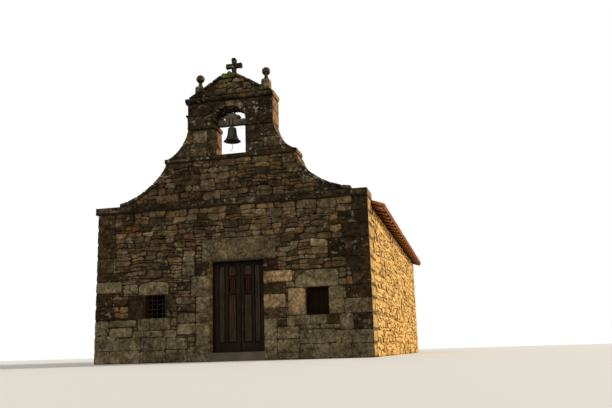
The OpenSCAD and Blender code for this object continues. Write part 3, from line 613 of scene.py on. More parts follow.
def rubble(pile, face, cell, blocked, size, rng, seg=0.055, joint=0.003, limit=None, shade=1.0, seed=1.0,
           proud=(0.003, 0.036), bulge=0.01):
    """Fills a wall with stones. Size is the wanted size or gives it at a place; limit moves points into the wall."""
    for u0, v0, u1, v1 in lay(cell, blocked, size if callable(size) else lambda u, v: size, rng):
        if u1 - u0 < 0.028 or v1 - v0 < 0.022:
            continue
        j = min(joint, (v1 - v0) * 0.08)
        low_l, low_r, top_r, top_l = (min((v1 - v0), (u1 - u0)) * rng.choice((0.02, 0.05, 0.13, 0.32))
                                      for _ in range(4))
        lean = [rng.uniform(0.4, 1.7) for _ in range(4)]
        poly = [(u0 + j + low_l * lean[0], v0 + j), (u1 - j - low_r * lean[1], v0 + j), (u1 - j, v0 + j + low_r * 0.7),
                (u1 - j, v1 - j - top_r * 0.7), (u1 - j - top_r * lean[2], v1 - j), (u0 + j + top_l * lean[3], v1 - j),
                (u0 + j, v1 - j - top_l * 0.7), (u0 + j, v0 + j + low_l * 0.7)]
        pts = warp(resample(poly, seg), cell, blocked, seed)
        if limit:
            kept = np.array([limit(*p) for p in pts])
            if np.abs(kept - pts).max() > 0 and area(kept) < 0.45 * area(pts):
                continue
            pts = kept
        e = min(0.01, 0.14 * min(u1 - u0, v1 - v0))
        stone(pile, face, pts, -0.02, rng.uniform(*proud), rng, edge=e, bulge=min(bulge, e), amp=0.008, tilt=0.16,
              shade=shade((u0 + u1) / 2, (v0 + v1) / 2) if callable(shade) else shade, fill=(0.5,))


# Dressed stones on the front: x0, x1, z0, z1, value, hue
TAN, GREY, BROWN, DIM = 0.95, 0.5, 0.25, 0.0
FACE_BLOCKS = [
    (-1.15, -0.82, 2.01, 2.345, 0.4, BROWN), (-1.26, -0.8, 0.9, 1.14, 0.5, GREY),
    (-3.03, -2.31, 0.86, 1.03, 0.6, GREY), (-2.27, -1.97, 0.76, 1.05, 0.7, GREY),
    (-1.97, -1.44, 0.76, 1.05, 0.45, GREY), (-1.44, -1.27, 0.84, 1.03, 0.5, BROWN),
    (-1.27, -0.8, 0.64, 0.9, 0.6, GREY), (-2.67, -2.28, 1.64, 1.88, 0.7, GREY),
    (-2.53, -2.115, 1.05, 1.6, 0.3, DIM), (1.42, 1.64, 0.74, 0.98, 0.6, GREY),
    (1.64, 1.98, 0.76, 0.983, 0.6, GREY), (1.98, 2.36, 0.76, 0.983, 0.35, GREY),
    (2.36, 2.66, 0.76, 0.983, 0.5, DIM), (2.66, 2.97, 0.62, 0.98, 0.45, GREY),
    (-2.42, -1.62, 0.6, 0.76, 0.75, GREY), (-3.02, -2.42, 0.62, 0.85, 0.7, GREY),
    (-1.62, -1.27, 0.58, 0.76, 0.6, GREY), (1.19, 1.72, 0.46, 0.74, 0.6, 0.62),
    (1.72, 2.55, 0.34, 0.66, 0.55, GREY), (1.72, 2.2, 0.66, 0.76, 0.5, GREY),
    (2.2, 2.66, 0.66, 0.76, 0.6, GREY), (2.55, 2.97, 0.34, 0.62, 0.5, GREY),
    (-3.0, -2.2, 0.3, 0.6, 0.7, GREY), (-2.2, -1.55, 0.28, 0.6, 0.6, GREY),
    (-1.55, -1.0, 0.3, 0.58, 0.7, GREY), (1.19, 1.72, 0.16, 0.46, 0.6, GREY),
    (1.72, 2.4, 0.0, 0.34, 0.5, GREY), (2.4, 2.9, 0.0, 0.34, 0.45, GREY), (1.19, 1.72, 0.0, 0.16, 0.4, GREY),
    (-3.0, -2.2, 0.0, 0.3, 0.6, GREY), (-2.2, -1.55, 0.0, 0.28, 0.7, GREY), (-1.55, -1.0, 0.0, 0.3, 0.55, GREY),
]
# Stones round the doorway, in the same way
JAMBS = [
    (-0.82, -0.445, 2.0, 2.345, 0.1, DIM), (-0.92, -0.445, 1.51, 2.0, 0.35, GREY),
    (-0.79, -0.445, 1.14, 1.51, 0.5, GREY), (-0.8, -0.445, 0.9, 1.14, 0.4, GREY),
    (-0.8, -0.445, 0.36, 0.9, 0.6, GREY), (-1.0, -0.445, 0.0, 0.36, 0.6, GREY),
    (0.885, 1.25, 2.03, 2.345, 0.2, DIM), (0.885, 1.58, 1.76, 2.03, 0.8, TAN), (0.885, 1.42, 1.49, 1.76, 0.2, DIM),
    (0.885, 1.41, 1.17, 1.49, 0.8, TAN), (0.885, 1.42, 0.93, 1.17, 0.3, BROWN), (0.885, 1.19, 0.46, 0.93, 0.7, GREY),
    (0.885, 1.19, 0.0, 0.46, 0.6, GREY),
]
# Corner stones: z0, z1, reach along the front, reach along the side, value, hue
QUOINS_LEFT = [
    (0.0, 0.3, 0.4, 0.75, 0.6, GREY), (0.3, 0.67, 0.62, 0.42, 0.6, GREY), (0.67, 1.03, 0.36, 0.7, 0.75, GREY),
    (1.03, 1.36, 0.5, 0.4, 0.1, DIM), (1.36, 1.69, 0.45, 0.75, 0.15, DIM), (1.69, 1.97, 0.68, 0.45, 0.75, GREY),
    (1.97, 2.18, 0.83, 0.5, 0.25, DIM), (2.18, 2.55, 0.45, 0.8, 0.1, BROWN), (2.55, 2.92, 0.5, 0.42, 0.3, DIM),
    (2.92, 3.29, 0.48, 0.72, 0.2, BROWN), (3.29, 3.66, 0.47, 0.45, 0.35, DIM),
]
QUOINS_RIGHT = [
    (0.0, 0.32, 0.5, 0.4, 0.55, GREY), (0.32, 0.62, 0.85, 0.62, 0.5, GREY), (0.62, 0.98, 0.43, 0.85, 0.4, DIM),
    (0.98, 1.32, 0.63, 0.45, 0.4, GREY), (1.32, 1.62, 0.58, 0.8, 0.15, DIM), (1.62, 1.94, 0.42, 0.5, 0.2, DIM),
    (1.94, 2.26, 0.54, 0.78, 0.2, BROWN), (2.26, 2.7, 0.96, 0.55, 0.1, DIM), (2.7, 3.02, 0.62, 0.9, 0.15, DIM),
    (3.02, 3.32, 0.7, 0.5, 0.1, DIM), (3.32, 3.66, 0.36, 0.75, 0.3, DIM),
]
# What else the front's rubble leaves free, x0, z0, x1, z1: doorway, its lintel, then for the left and the right
# window the opening, the lintel and the jambs
FRONT_PLACES = [
    (-0.45, 0, 0.89, 2.345), (-0.641, 2.345, 1.181, 2.875), (-2.11, 1.05, -1.58, 1.6), (-2.27, 1.6, -1.49, 1.93),
    (-1.58, 1.05, -1.31, 1.6), (1.87, 0.983, 2.425, 1.607), (1.64, 1.607, 2.66, 2.008),
    (1.463, 0.983, 1.87, 1.607), (2.425, 0.983, 2.766, 1.607),
]
REVEAL = -0.222  # the doorway's stones reach back to the leaves
# Outline, depth, how far proud, value, hue and what block() takes: the lintels of the door and the left window,
# the right window's with its wedge; then the left window's right jamb and both of the right window's
LINTELS = [
    ([(-0.636, 2.35), (0.9, 2.35), (1.1, 2.352), (1.135, 2.4), (1.175, 2.6), (1.176, 2.87), (0.2, 2.872),
      (-0.634, 2.868)], REVEAL, 0.016, 0.62, 0.42, {"mids": 1, "amp": 0.004, "bulge": 0.002, "seg": 0.1}),
    ([(-2.265, 1.605), (-1.495, 1.605), (-1.5, 1.87), (-1.7, 1.915), (-1.93, 1.925), (-2.16, 1.885),
      (-2.265, 1.83)], -0.3, 0.014, 0.65, 0.5, {"mids": 1}),
    ([(1.645, 1.612), (2.655, 1.612), (2.655, 1.9), (2.63, 1.99), (2.4, 2.003), (1.95, 2.003), (1.76, 1.93),
      (1.645, 1.8)], -0.12, 0.016, 0.55, 0.6, {"mids": 1}),
    ([(1.647, 1.815), (1.76, 1.945), (1.9, 2.003), (1.647, 2.003)], -0.02, 0.012, 0.4, 0.3, {}),
]
WINDOW_JAMBS = [
    (rect(*place), lo, 0.012, value, hue, {"mids": 1, "amp": 0.0035})
    for *place, lo, value, hue in ((-1.584, -1.315, 1.054, 1.596, -0.3, 0.35, DIM),
                                   (1.467, 1.874, 0.987, 1.603, -0.115, 0.75, 0.8),
                                   (2.421, 2.762, 0.987, 1.603, -0.115, 0.5, GREY))
]
GAP = 0.004


def front_wall():
    rng = random.Random(11)
    pile, big = Pile(), Pile()
    blocked = [(x0, z0, x1, z1) for x0, x1, z0, z1, *_ in FACE_BLOCKS + JAMBS]
    blocked += [(-HALF_W, z0, -HALF_W + r, z1) for z0, z1, r, *_ in QUOINS_LEFT]
    blocked += [(HALF_W - r, z0, HALF_W, z1) for z0, z1, r, *_ in QUOINS_RIGHT]
    blocked += FRONT_PLACES

    def size(u, v):
        if v < 0.9:
            return 0.42, 0.24
        if v < 1.9 or v > 3.35:
            return 0.27, 0.14
        return (0.29, 0.1) if u < 0 else (0.27, 0.125)

    def shade(u, v):
        return 1.0 + 0.12 * noise.noise(Vector((u * 0.6, v * 0.6, 5))) + 0.22 * (u > 0.5 and v > 2.3)

    rubble(pile, FRONT, (-HALF_W, 0, HALF_W, STRING1[0]), blocked, size, rng, shade=shade, seed=2.0)
    pile.piece("front_rubble", RUBBLE, "rubble_stone")

    for *place, value, hue in FACE_BLOCKS:
        block(big, FRONT, rect(*place, GAP), -0.03, rng.uniform(0.008, 0.02), rng, value=value, hue=hue)
    for x0, x1, z0, z1, value, hue in JAMBS:  # flush with the doorway
        poly = rect(x0 + GAP * (x0 < 0), x1 - GAP * (x0 > 0), z0 + GAP, z1 - GAP)
        block(big, FRONT, poly, REVEAL, rng.uniform(0.006, 0.016), rng, value=value, hue=hue, mids=2, amp=0.0035)
    for poly, lo, hi, value, hue, kw in LINTELS + WINDOW_JAMBS:
        block(big, FRONT, poly, lo, hi, rng, value=value, hue=hue, **kw)
    for side, quoins in ((-1, QUOINS_LEFT), (1, QUOINS_RIGHT)):
        for z0, z1, reach, deep, value, hue in quoins:
            corner_stone(big, FRONT, side, z0, z1, reach, deep, rng.uniform(0.01, 0.02), rng, value=value, hue=hue,
                         amp=0.006)
    big.piece("front_dressed_stones", DRESSED, "dressed_stone")


COURSE = 0.35
REAR_COURSES = list(enumerate(np.arange(0, 3.5, COURSE)))


def side_walls():
    rng = random.Random(23)
    for name, face, quoins in (("right_side_rubble", RIGHT, QUOINS_RIGHT), ("left_side_rubble", LEFT, QUOINS_LEFT)):
        pile = Pile()

        def span(y0, y1, z0, z1):
            ends = (y0, y1) if face is RIGHT else (LEN - y0, LEN - y1)
            return min(ends), z0, max(ends), z1

        blocked = [span(0, deep, z0, z1) for z0, z1, _, deep, *_ in quoins] + [span(*SIDE_WINDOW)]
        for part in ((6.36, 6.698, 1.174, 1.726), (7.002, 7.24, 1.174, 1.726), (6.36, 7.24, 1.732, 1.895),
                     (6.36, 7.24, 1.025, 1.168)):
            u0, v0, u1, v1 = span(*part)
            block(pile, face, rect(u0, u1, v0, v1), -0.02, 0.003, rng, edge=0.006, bulge=0.0, amp=0.002, soft=False)
        blocked += [span(LEN - (0.42 if i % 2 else 0.7), LEN, z, z + COURSE) for i, z in REAR_COURSES]
        rubble(pile, face, (0, 0, LEN, EAVE_Z), blocked, (0.3, 0.13), rng, seg=0.08, joint=0.005, seed=3.0,
               proud=(0.004, 0.02), bulge=0.012)
        pile.piece(name, WARM, "warm_stone")


def rear_wall():
    rng = random.Random(31)
    pile, big = Pile(), Pile()
    blocked = []
    for side in (-1, 1):
        for i, z in REAR_COURSES:
            reach, deep = (0.7, 0.42) if i % 2 else (0.42, 0.7)
            blocked.append(corner_stone(big, BACK, side, z, z + COURSE, reach, deep, 0.014, rng, seg=0.07))

    def limit(u, v):
        return u, min(v, EAVE_Z + 0.09 + (HALF_W - abs(u)) * RISE - 0.02)

    rubble(pile, BACK, (-HALF_W, 0, HALF_W, 4.75), blocked, (0.28, 0.16), rng, seg=0.085, joint=0.007, seed=4.0,
           limit=limit, proud=(0.006, 0.035))
    pile.piece("rear_rubble", WARM, "warm_stone")
    big.piece("rear_corner_stones", WARM, "warm_stone")


# Gable, string courses and belfry
def sweep_x(z, x_out, x_in, z_low, z_high, power):
    t = min(max((z_high - z) / (z_high - z_low), 0), 1)
    return x_out + (x_in - x_out) * (1 - t ** power) ** (1 / power)


def sweep_z(x, x_out, x_in, z_low, z_high, power):
    s = min(max((x - x_out) / (x_in - x_out), 0), 1)
    return z_high - (z_high - z_low) * (1 - s ** power) ** (1 / power)


def string_course(pile, rng, x0, x1, y0, y1, z0, z1, lengths, shade):
    cuts = [x0]
    while cuts[-1] < x1 - lengths[1]:
        cuts.append(cuts[-1] + rng.uniform(*lengths))
    cuts.append(x1)
    for a, b in zip(cuts, cuts[1:]):
        top = z1 + rng.uniform(-0.012, 0.003)
        poly = [(y0 + 0.012, z0 + 0.004), (y1, z0 + 0.004), (y1, top), (y0 + 0.01, top), (y0, top - 0.03),
                (y0 + 0.002, z0 + 0.04)]
        worn = a == x0  # the left end is rounded and paler
        block(pile, ALONG_X, poly, a + 0.002, b - 0.002, rng, back=True, mids=max(2, int((b - a) / 0.12)), seg=0.07,
              amp=0.011, edge=0.045 if worn else 0.014, shade=1.3 if worn else shade)


# The gable's sweeps: outer and inner end of the coping's outline, power of the curve, width of the coping inwards
SWEEPS = ((-2.827, -1.592, 1.45, 0.087), (3.036, 1.76, 1.65, -0.087))
# Larger dressed stones along them: x0, x1, z0, z1, value, hue
SWEEP_BLOCKS = [
    (-2.83, -2.38, 3.83, 4.09, 0.3, 0.2), (-2.38, -2.07, 4.09, 4.34, 0.4, 0.5), (-2.07, -1.76, 4.34, 4.65, 0.9, 0.7),
    (-1.76, -1.46, 4.65, 4.838, 0.6, 0.4), (2.17, 3.04, 3.83, 4.05, 0.3, 0.1), (1.86, 2.42, 4.05, 4.36, 0.4, 0.5),
    (1.5, 2.05, 4.36, 4.6, 0.7, 0.7), (1.4, 1.75, 4.6, 4.838, 0.6, 0.6),
]


def gable():
    rng = random.Random(41)
    pile, dressed, caps, courses = Pile(), Pile(), Pile(), Pile()
    low, high = STRING1[1], STRING2[0]
    left, right = ((x_out, x_in + inward, low, high, power) for x_out, x_in, power, inward in SWEEPS)

    def limit(u, v):
        return min(max(u, sweep_x(v, *left) + 0.012), sweep_x(v, *right) - 0.012), v

    def limit_back(u, v):
        return -limit(-u, v)[0], v

    def size(u, v):
        return (0.24, 0.15) if v < 4.45 and u < 0.3 else (0.28, 0.115)

    rubble(pile, FRONT, (-2.83, low, 3.04, high), [(x0, z0, x1, z1) for x0, x1, z0, z1, *_ in SWEEP_BLOCKS], size,
           rng, limit=limit, seed=5.0, shade=0.85)
    for *place, value, hue in SWEEP_BLOCKS:
        poly = np.array([limit(*p) for p in resample(rect(*place, GAP), 0.05)])
        block(dressed, FRONT, poly, -0.02, 0.014, rng, seg=0.5, value=value, hue=hue)
    rubble(pile, GABLE_BACK, (-3.04, low, 2.83, high), [], (0.32, 0.18), rng, seg=0.09, seed=6.0, limit=limit_back)
    pile.piece("gable_rubble", RUBBLE, "rubble_stone")
    dressed.piece("gable_dressed_stones", DARK, "belfry_stone")

    for x_out, x_in, power, inward in SWEEPS:
        cuts = [x_out + (x_in - x_out) * t for t in (0, 0.17, 0.36, 0.54, 0.71, 0.87, 1.0)]
        for a, b in zip(cuts, cuts[1:]):
            over, under = [], []
            for k in range(7):
                x = a + (b - a) * k / 6
                over.append((x, sweep_z(x, x_out, x_in, low + 0.087, high, power)))
                x = x_out + (x_in + inward - x_out) * (x - x_out) / (x_in - x_out)
                under.append((x, sweep_z(x, x_out, x_in + inward, low, high, power)))
            poly = under + over[::-1]
            if x_out > 0:
                poly = poly[::-1]
            mid = np.mean(poly, 0)
            poly = [tuple(mid + (np.array(p) - mid) * 0.988) for p in poly]
            block(caps, FRONT, poly, -FRONT_T + 0.004, 0.036 + rng.uniform(-0.004, 0.004), rng, back=True, mids=5,
                  seg=0.09, amp=0.005, edge=0.008, shade=0.85)
    caps.piece("gable_coping_slabs", DARK, "belfry_stone", replaces="gable_copings")

    string_course(courses, rng, -HALF_W - 0.062, HALF_W + 0.012, -0.066, FRONT_T + 0.004, STRING1[0] - 0.002,
                  STRING1[1] + 0.006, (0.55, 1.1), 0.8)
    string_course(courses, rng, BX - FOOT_W - 0.03, BX + FOOT_W + 0.014, -0.056, BELFRY_T + 0.055,
                  STRING2[0] - 0.002, STRING2[1] + 0.006, (0.45, 0.9), 1.0)
    courses.piece("string_course_blocks", DARK, "belfry_stone")


INNER = ARCH_R - 0.006
# Blocks of the flared feet: side, x0, x1, z0, z1, value, hue, with x from the belfry's middle; x1 None ends on
# the flare
FLARED = [
    (-1, INNER, 0.59, 4.945, 5.63, 0.3, 0.1), (-1, 0.59, 1.02, 4.945, 5.3, 0.5, 0.95),
    (-1, 0.59, 0.97, 5.3, 5.63, 0.8, 0.75), (-1, 1.02, None, 4.945, 5.3, 0.4, 0.2),
    (-1, 0.97, None, 5.3, 5.63, 0.45, 0.3), (1, INNER, 0.86, 4.945, 5.2, 0.35, 0.3),
    (1, INNER, 0.86, 5.2, 5.63, 0.35, 0.2), (1, 0.86, None, 4.945, 5.05, 0.4, 0.2),
    (1, 0.86, None, 5.05, 5.3, 0.95, 0.6), (1, 0.86, None, 5.3, 5.63, 0.5, 0.45),
]
# Arch stones from the right springing to the left one: end angle, value, hue
ARCH_STONES = ((38, 0.3, 0.0), (72, 0.95, 0.72), (104, 0.8, 0.6), (146, 0.3, 0.2), (180, 0.2, 0.0))


def belfry():
    rng = random.Random(53)
    pile, trim = Pile(), Pile()

    def put_block(poly, proud=0.0, mids=4, **kw):
        block(pile, FRONT, [(BX + x, z) for x, z in poly], -BELFRY_T - 0.01 + rng.uniform(-0.006, 0.004),
              0.01 + proud + rng.uniform(-0.004, 0.006), rng, back=True, edge=0.012, amp=0.006, mids=mids, **kw)

    def shoulder(side, x0, x1, z0, z1, **kw):
        """A block beside and over the arch, whose ring cuts into it."""
        out = []
        r = ARCH_R + RING_T + 0.004
        for x, z in resample(rect(x0, x1, z0, z1, 0.003, 0.004), 0.07, 2):
            d = math.hypot(x, z - SPRING)
            if z >= SPRING and d < r:
                x, z = x * r / d, SPRING + (z - SPRING) * r / d
            out.append((x, min(z, z1 - 0.004)))
        put_block(mirrored(out, side), seg=0.2, **kw)

    for side, x0, x1, z0, z1, value, hue in FLARED:
        zs = np.linspace(z0 + 0.004, z1 - 0.004, 6)
        outer = [(sweep_x(z, FOOT_W + 0.008, BELFRY_W + 0.008, STRING2[1], IMPOST, 1.5) if x1 is None
                  else x1 - 0.003, z) for z in zs]
        put_block(mirrored([(x0 + 0.003, zs[0]), *outer, (x0 + 0.003, zs[-1])], side), value=value, hue=hue)
    for side in (-1, 1):
        shoulder(side, INNER, BELFRY_W + 0.008, 5.648, 6.00, value=0.35, hue=0.25, proud=0.014)
        shoulder(side, 0.22, BELFRY_W + 0.008, 6.00, CORNICE, value=0.3, hue=0.15)
    start = 0
    for end, value, hue in ARCH_STONES:
        arcs = np.linspace(math.radians(start) + 0.005, math.radians(end) - 0.005, 8)
        start = end
        outer = [(ARCH_R + RING_T - 0.001, a) for a in arcs]
        inner = [(INNER - 0.042 * math.sin(a) ** 2, a) for a in arcs[::-1]]  # flatter at the crown
        put_block([(r * math.cos(a), min(SPRING + r * math.sin(a), CORNICE - 0.006)) for r, a in outer + inner],
                  seg=0.06, value=value, hue=hue)
    for side in (-1, 1):  # imposts inside the opening
        x = side * (ARCH_R - 0.013)
        put_block(rect(x - 0.013, x + 0.013, IMPOST + 0.012, IMPOST + 0.096), value=0.8, hue=0.8)
    pile.piece("belfry_blocks", DARK, "belfry_stone")

    left = BX - BELFRY_W - 0.065
    cuts = [left, left + 0.42, left + 0.95, left + 1.38, left + 1.86, BX + BELFRY_W + 0.025]
    cornice = [(-0.018, 6.342), (BELFRY_T + 0.018, 6.342), (BELFRY_T + 0.068, 6.402), (BELFRY_T + 0.068, 6.492),
               (-0.066, 6.492), (-0.068, 6.402)]
    for a, b in zip(cuts, cuts[1:]):
        block(trim, ALONG_X, cornice, a + 0.004, b - 0.004, rng, back=True, mids=4, seg=0.09, amp=0.006)
    trim.piece("cornice_blocks", DARK, "belfry_stone", replaces="belfry_cornice")


PED_RISE, PED_W, APEX_R, COPING_T = 0.607, 1.09, 0.481, 0.082
SLOPE = math.atan(PED_RISE)
TANGENT = APEX_R * math.sin(SLOPE)


def pediment_z(x, drop=0.0):
    """Height of the pediment's outline at x from its middle, lowered by drop: two slopes with a round top."""
    w = PED_W - drop / PED_RISE
    if abs(x) < TANGENT:
        return CORNICE_TOP + (w - TANGENT) * PED_RISE - APEX_R * math.cos(SLOPE) + math.sqrt(APEX_R ** 2 - x * x)
    return CORNICE_TOP + (w - abs(x)) * PED_RISE


def crown():
    """What stands on the cornice: pediment with coping, block and cross, ball finials."""
    rng = random.Random(67)
    pile, caps, tops, cross, balls = (Pile() for _ in range(5))
    for face, way in ((FRONT, 1), (BELFRY_BACK, -1)):
        def limit(u, v):
            x = way * u - BX
            return u, min(v, APEX[2] - 0.006 if APEX[0] < x < APEX[1] else pediment_z(x, COPING_T) - 0.008)
        rubble(pile, face, (way * BX - 0.77, CORNICE_TOP, way * BX + 0.77, 7.12), [], (0.24, 0.15), rng, limit=limit,
               seed=7.0 + way, joint=0.005, bulge=0.012, proud=(0.006, 0.02), shade=1.5)
    pile.piece("pediment_stones", DARK, "belfry_stone")

    def slab(poly, **kw):
        block(caps, FRONT, poly, -BELFRY_T - 0.043, 0.043, rng, back=True, mids=5, amp=0.006, shade=0.8, **kw)

    for xs in ((-0.775, -0.46, -0.216), (0.166, 0.47, 0.775)):
        for a, b in zip(xs, xs[1:]):
            steps = np.linspace(a + 0.002, b - 0.002, 6)
            under = [(BX + x, pediment_z(x, COPING_T)) for x in steps]
            drop = rng.uniform(0.0, 0.008)
            slab(under + [(BX + x, pediment_z(x) - drop) for x in steps[::-1]], seg=0.07)
    # The last slabs run past the feet of the pedestals down to the cornice
    end = [(0.778, 6.503), (1.076, 6.503), (1.074, 6.514), (0.92, 6.6), (0.778, pediment_z(0.778))]
    for side in (-1, 1):
        slab([(BX + x, z) for x, z in mirrored(end, side)])
    caps.piece("pediment_coping_slabs", DARK, "belfry_stone", replaces="pediment_coping")

    x0, x1, z0, z1 = APEX
    for a, b, value, hue in ((x0, 0.045, 0.5, 0.3), (0.051, x1, 0.7, 0.7)):
        block(tops, FRONT, rect(BX + a, BX + b, z0, z1, 0.002), -BELFRY_T - 0.047, 0.047, rng, back=True, mids=5,
              amp=0.01, edge=0.014, value=value, hue=hue)
    wedge = [(-0.128, z1 + 0.002), (0.038, z1 + 0.002), (0.036, z1 + 0.05), (-0.045, z1 + 0.142), (-0.126, z1 + 0.064)]
    block(tops, FRONT, [(BX + x, z) for x, z in wedge], -0.198, -0.102, rng, back=True, mids=2, amp=0.008, edge=0.012,
          value=0.7, hue=0.6)
    tops.piece("cross_block_stones", MOSSY, "belfry_stone", replaces="cross_block")

    arm_z, stem, flare, reach, foot = 7.352, 0.05, 0.06, 0.206, 0.072
    right = [(foot, z1 + 0.001), (stem, z1 + foot), (stem, arm_z - stem), (reach, arm_z - flare),
             (reach, arm_z + flare), (stem, arm_z + stem), (flare, 7.53), (0.035, 7.562)]
    poly = right + [(-x, z) for x, z in right[::-1]]
    plate(cross, [(0.115 + x, z) for x, z in poly], BELFRY_T / 2 - 0.058, BELFRY_T / 2 + 0.058, rng)
    cross.piece("stone_cross", DARK, "belfry_stone", replaces="cross")

    post = [(-0.108, 6.502), (0.108, 6.502), (0.107, 6.855), (0.086, 6.883), (-0.086, 6.883), (-0.107, 6.855)]
    neck = [(0.072, 6.88), (0.072, 6.905), (0.05, 6.93), (0.042, 6.975), (0.05, 7.012), (0.062, 7.02)]
    ball = [(0.107 * math.cos(t), 7.105 + 0.107 * math.sin(t)) for t in np.linspace(-0.88, 1.5, 14)]
    for side in (-1, 1):
        x = BX + side * 0.88
        block(balls, FRONT, [(x + u, z) for u, z in post], -BELFRY_T / 2 - 0.108, -BELFRY_T / 2 + 0.108, rng, back=True,
              mids=3, amp=0.006, edge=0.016, value=0.9, hue=0.72, shade=1.3)
        lathe(balls, x, YF + BELFRY_T / 2, neck + ball, rng)
    balls.piece("ball_finial_stones", DARK, "belfry_stone", replaces="ball_finials")


def plate(pile, outline, y0, y1, rng, seg=0.022, edge=0.008, amp=0.004, layers=5):
    """A solid from a non-convex outline: the faces are triangulated from their own points."""
    pts = resample(outline, seg)
    n = len(pts)
    rings = [(inset(pts, edge), y0), (pts, y0 + edge)]
    rings += [(pts, y0 + (y1 - y0) * k / layers) for k in range(1, layers)]
    rings += [(pts, y1 - edge), (inset(pts, edge), y1)]
    verts = np.concatenate([np.column_stack([p[:, 0], np.full(n, YF + y), p[:, 1]]) for p, y in rings])
    verts = verts + rough(verts, amp, 14.0, [rng.uniform(-9, 9) for _ in range(3)])
    tris = []
    last = (len(rings) - 1) * n
    for t in tessellate_polygon([[Vector((p[0], p[1], 0)) for p in rings[0][0]]]):
        a, b, c = (Vector(rings[0][0][i]) for i in t)
        t = t if (b - a).cross(c - a) > 0 else t[::-1]
        tris += [t, [last + i for i in t[::-1]]]
    pile.add(verts, ring_quads(n, len(rings)), tris, (rng.random(), rng.random(), 1.0, 1.0))


def lathe(pile, x, y, profile, rng, sides=28, amp=0.004):
    """A solid turned round an upright axis; the profile gives radius and height."""
    verts = [(x + u, y + v, z) for r, z in profile for u, v in circle(r, sides)]
    n = len(verts)
    verts += [(x, y, profile[0][1]), (x, y, profile[-1][1] + 0.0002)]
    tris = np.concatenate([fan(sides, 0, n)[:, [1, 0, 2]], fan(sides, n - sides, n + 1)])
    verts = np.array(verts)
    verts = verts + rough(verts, amp, 16.0, (rng.uniform(-9, 9), 0, 0))
    pile.add(verts, ring_quads(sides, len(profile)), tris, (rng.random(), rng.random(), 1.0, 1.0))


front_wall()
side_walls()
rear_wall()
gable()
belfry()
crown()


# Roof
def slope_point(side, x, y, up):
    """A point on a roof slope: x from the ridge outwards, y along, up from the tiles' bed, square to the slope."""
    k = math.hypot(1, RISE)
    z = EAVE_Z + (HALF_W - x) * RISE + TILE_BED
    return side * (x + up * RISE / k), YF + y, z + up / k


def shell(pile, rows, flip, tone):
    """A curved tile from its arcs of points: outer and inner at one end, outer and inner at the other."""
    s = len(rows[0])
    quads = []
    for k in range(s - 1):
        quads += [(k, k + 1, 2 * s + k + 1, 2 * s + k), (s + k + 1, s + k, 3 * s + k, 3 * s + k + 1),
                  (k + 1, k, s + k, s + k + 1), (2 * s + k, 2 * s + k + 1, 3 * s + k + 1, 3 * s + k)]
    quads += [(0, 2 * s, 3 * s, s), (s - 1, 2 * s - 1, 4 * s - 1, 3 * s - 1)]
    pile.add(sum(rows, []), [q[::-1] for q in quads] if flip else quads, tone=tone)


def canal_tile(pile, side, y, low, high, cover, rng, sides=7, thick=0.012, skew=0.0):
    """One curved clay tile from its low end to its high one, each given by x, radius and height on the bed."""
    rows = []
    for (x, r, up), aside in ((low, 0), (high, skew)):
        for inner in (0, 1):
            row = []
            for k in range(sides + 1):
                a = math.pi * (0.04 + 0.92 * k / sides)
                dy = (r - thick * inner) * math.cos(a) + aside
                dz = (r - thick * inner) * math.sin(a) * 0.82
                row.append(slope_point(side, x, y + dy, up + (dz if cover else r * 0.82 - dz)))
            rows.append(row)
    shell(pile, rows, (side > 0) != cover, (rng.random(), rng.random(), rng.uniform(0.85, 1.05), 1.0))


# The lowest tiles and the others: radius, height and thickness of the cover tiles, then for the tiles between
# them how far they stay behind, height and thickness
LOWEST, OTHERS = (0.092, 0.0, 0.02, 0.024, -0.034, 0.024), (0.088, 0.036, 0.012, 0.01, 0.012, 0.012)
COLUMN_W, TILE_STEP, TILE_LEN, VERGE = 0.208, 0.326 * 0.95, 0.42, 0.12


def roof():
    y0, y1 = FRONT_T, LEN + VERGE
    columns = int((y1 - y0 - 0.1) / COLUMN_W)
    pitch = (y1 - y0 - 0.19) / columns
    for name, side, node, seed in (("left_tiles", -1, "left_roof_tiles", 71),
                                   ("right_tiles", 1, "right_roof_tiles", 73)):
        rng = random.Random(seed)
        pile = Pile()
        for c in range(-1, columns + 1):
            y = y0 + 0.095 + c * pitch
            for r in range(12 if c >= 0 else 1):
                radius, height, thick, behind, low, thick_low = OTHERS if r else LOWEST
                x_low = EAVE_X - 0.037 - r * TILE_STEP
                x_high = max(x_low - TILE_LEN, 0.03 if c >= 0 else HALF_W + 0.01)
                if x_low < 0.15:
                    continue
                j = rng.uniform(-0.008, 0.008)
                slip = rng.uniform(0, 0.02) * (r > 0) + (0 if r else rng.uniform(0.0, 0.006))
                if c < 0:  # the wide tile over the corner, in front of the columns
                    canal_tile(pile, side, y, (x_low, 0.13, -0.058), (x_high, 0.124, -0.052), True, rng, sides=12,
                               thick=0.022)
                    continue
                canal_tile(pile, side, y + j, (x_low - slip, radius, height + rng.uniform(0, 0.006)),
                           (x_high, 0.07, 0.016), True, rng, skew=rng.uniform(-0.006, 0.006), thick=thick)
                if c < columns:
                    canal_tile(pile, side, y + pitch / 2 + j, (x_low + behind, 0.088, low), (x_high, 0.075, 0.002),
                               False, rng, sides=5, thick=thick_low)
        pile.piece(name, TILE, "roof_tile", replaces=node)

    rng = random.Random(79)
    ridge = Pile()
    y = y0 + 0.004
    apex = EAVE_Z + HALF_W * RISE + TILE_BED
    arcs = [math.pi * (0.02 + 0.96 * k / 10) for k in range(11)]
    while y < y1 - 0.05:
        end = min(y + 0.45, y1 - 0.002)
        rows = [[(rr * math.cos(a), YF + yy, apex + 0.033 + lift + rr * math.sin(a)) for a in arcs]
                for yy, r, lift in ((y, 0.122, 0.018), (end, 0.108, 0.002)) for rr in (r, r - 0.014)]
        shell(ridge, rows, False, (rng.random(), rng.random(), 1.0, 1.0))
        y += 0.37
    ridge.piece("ridge_cover_tiles", TILE, "roof_tile", replaces="ridge_tiles")


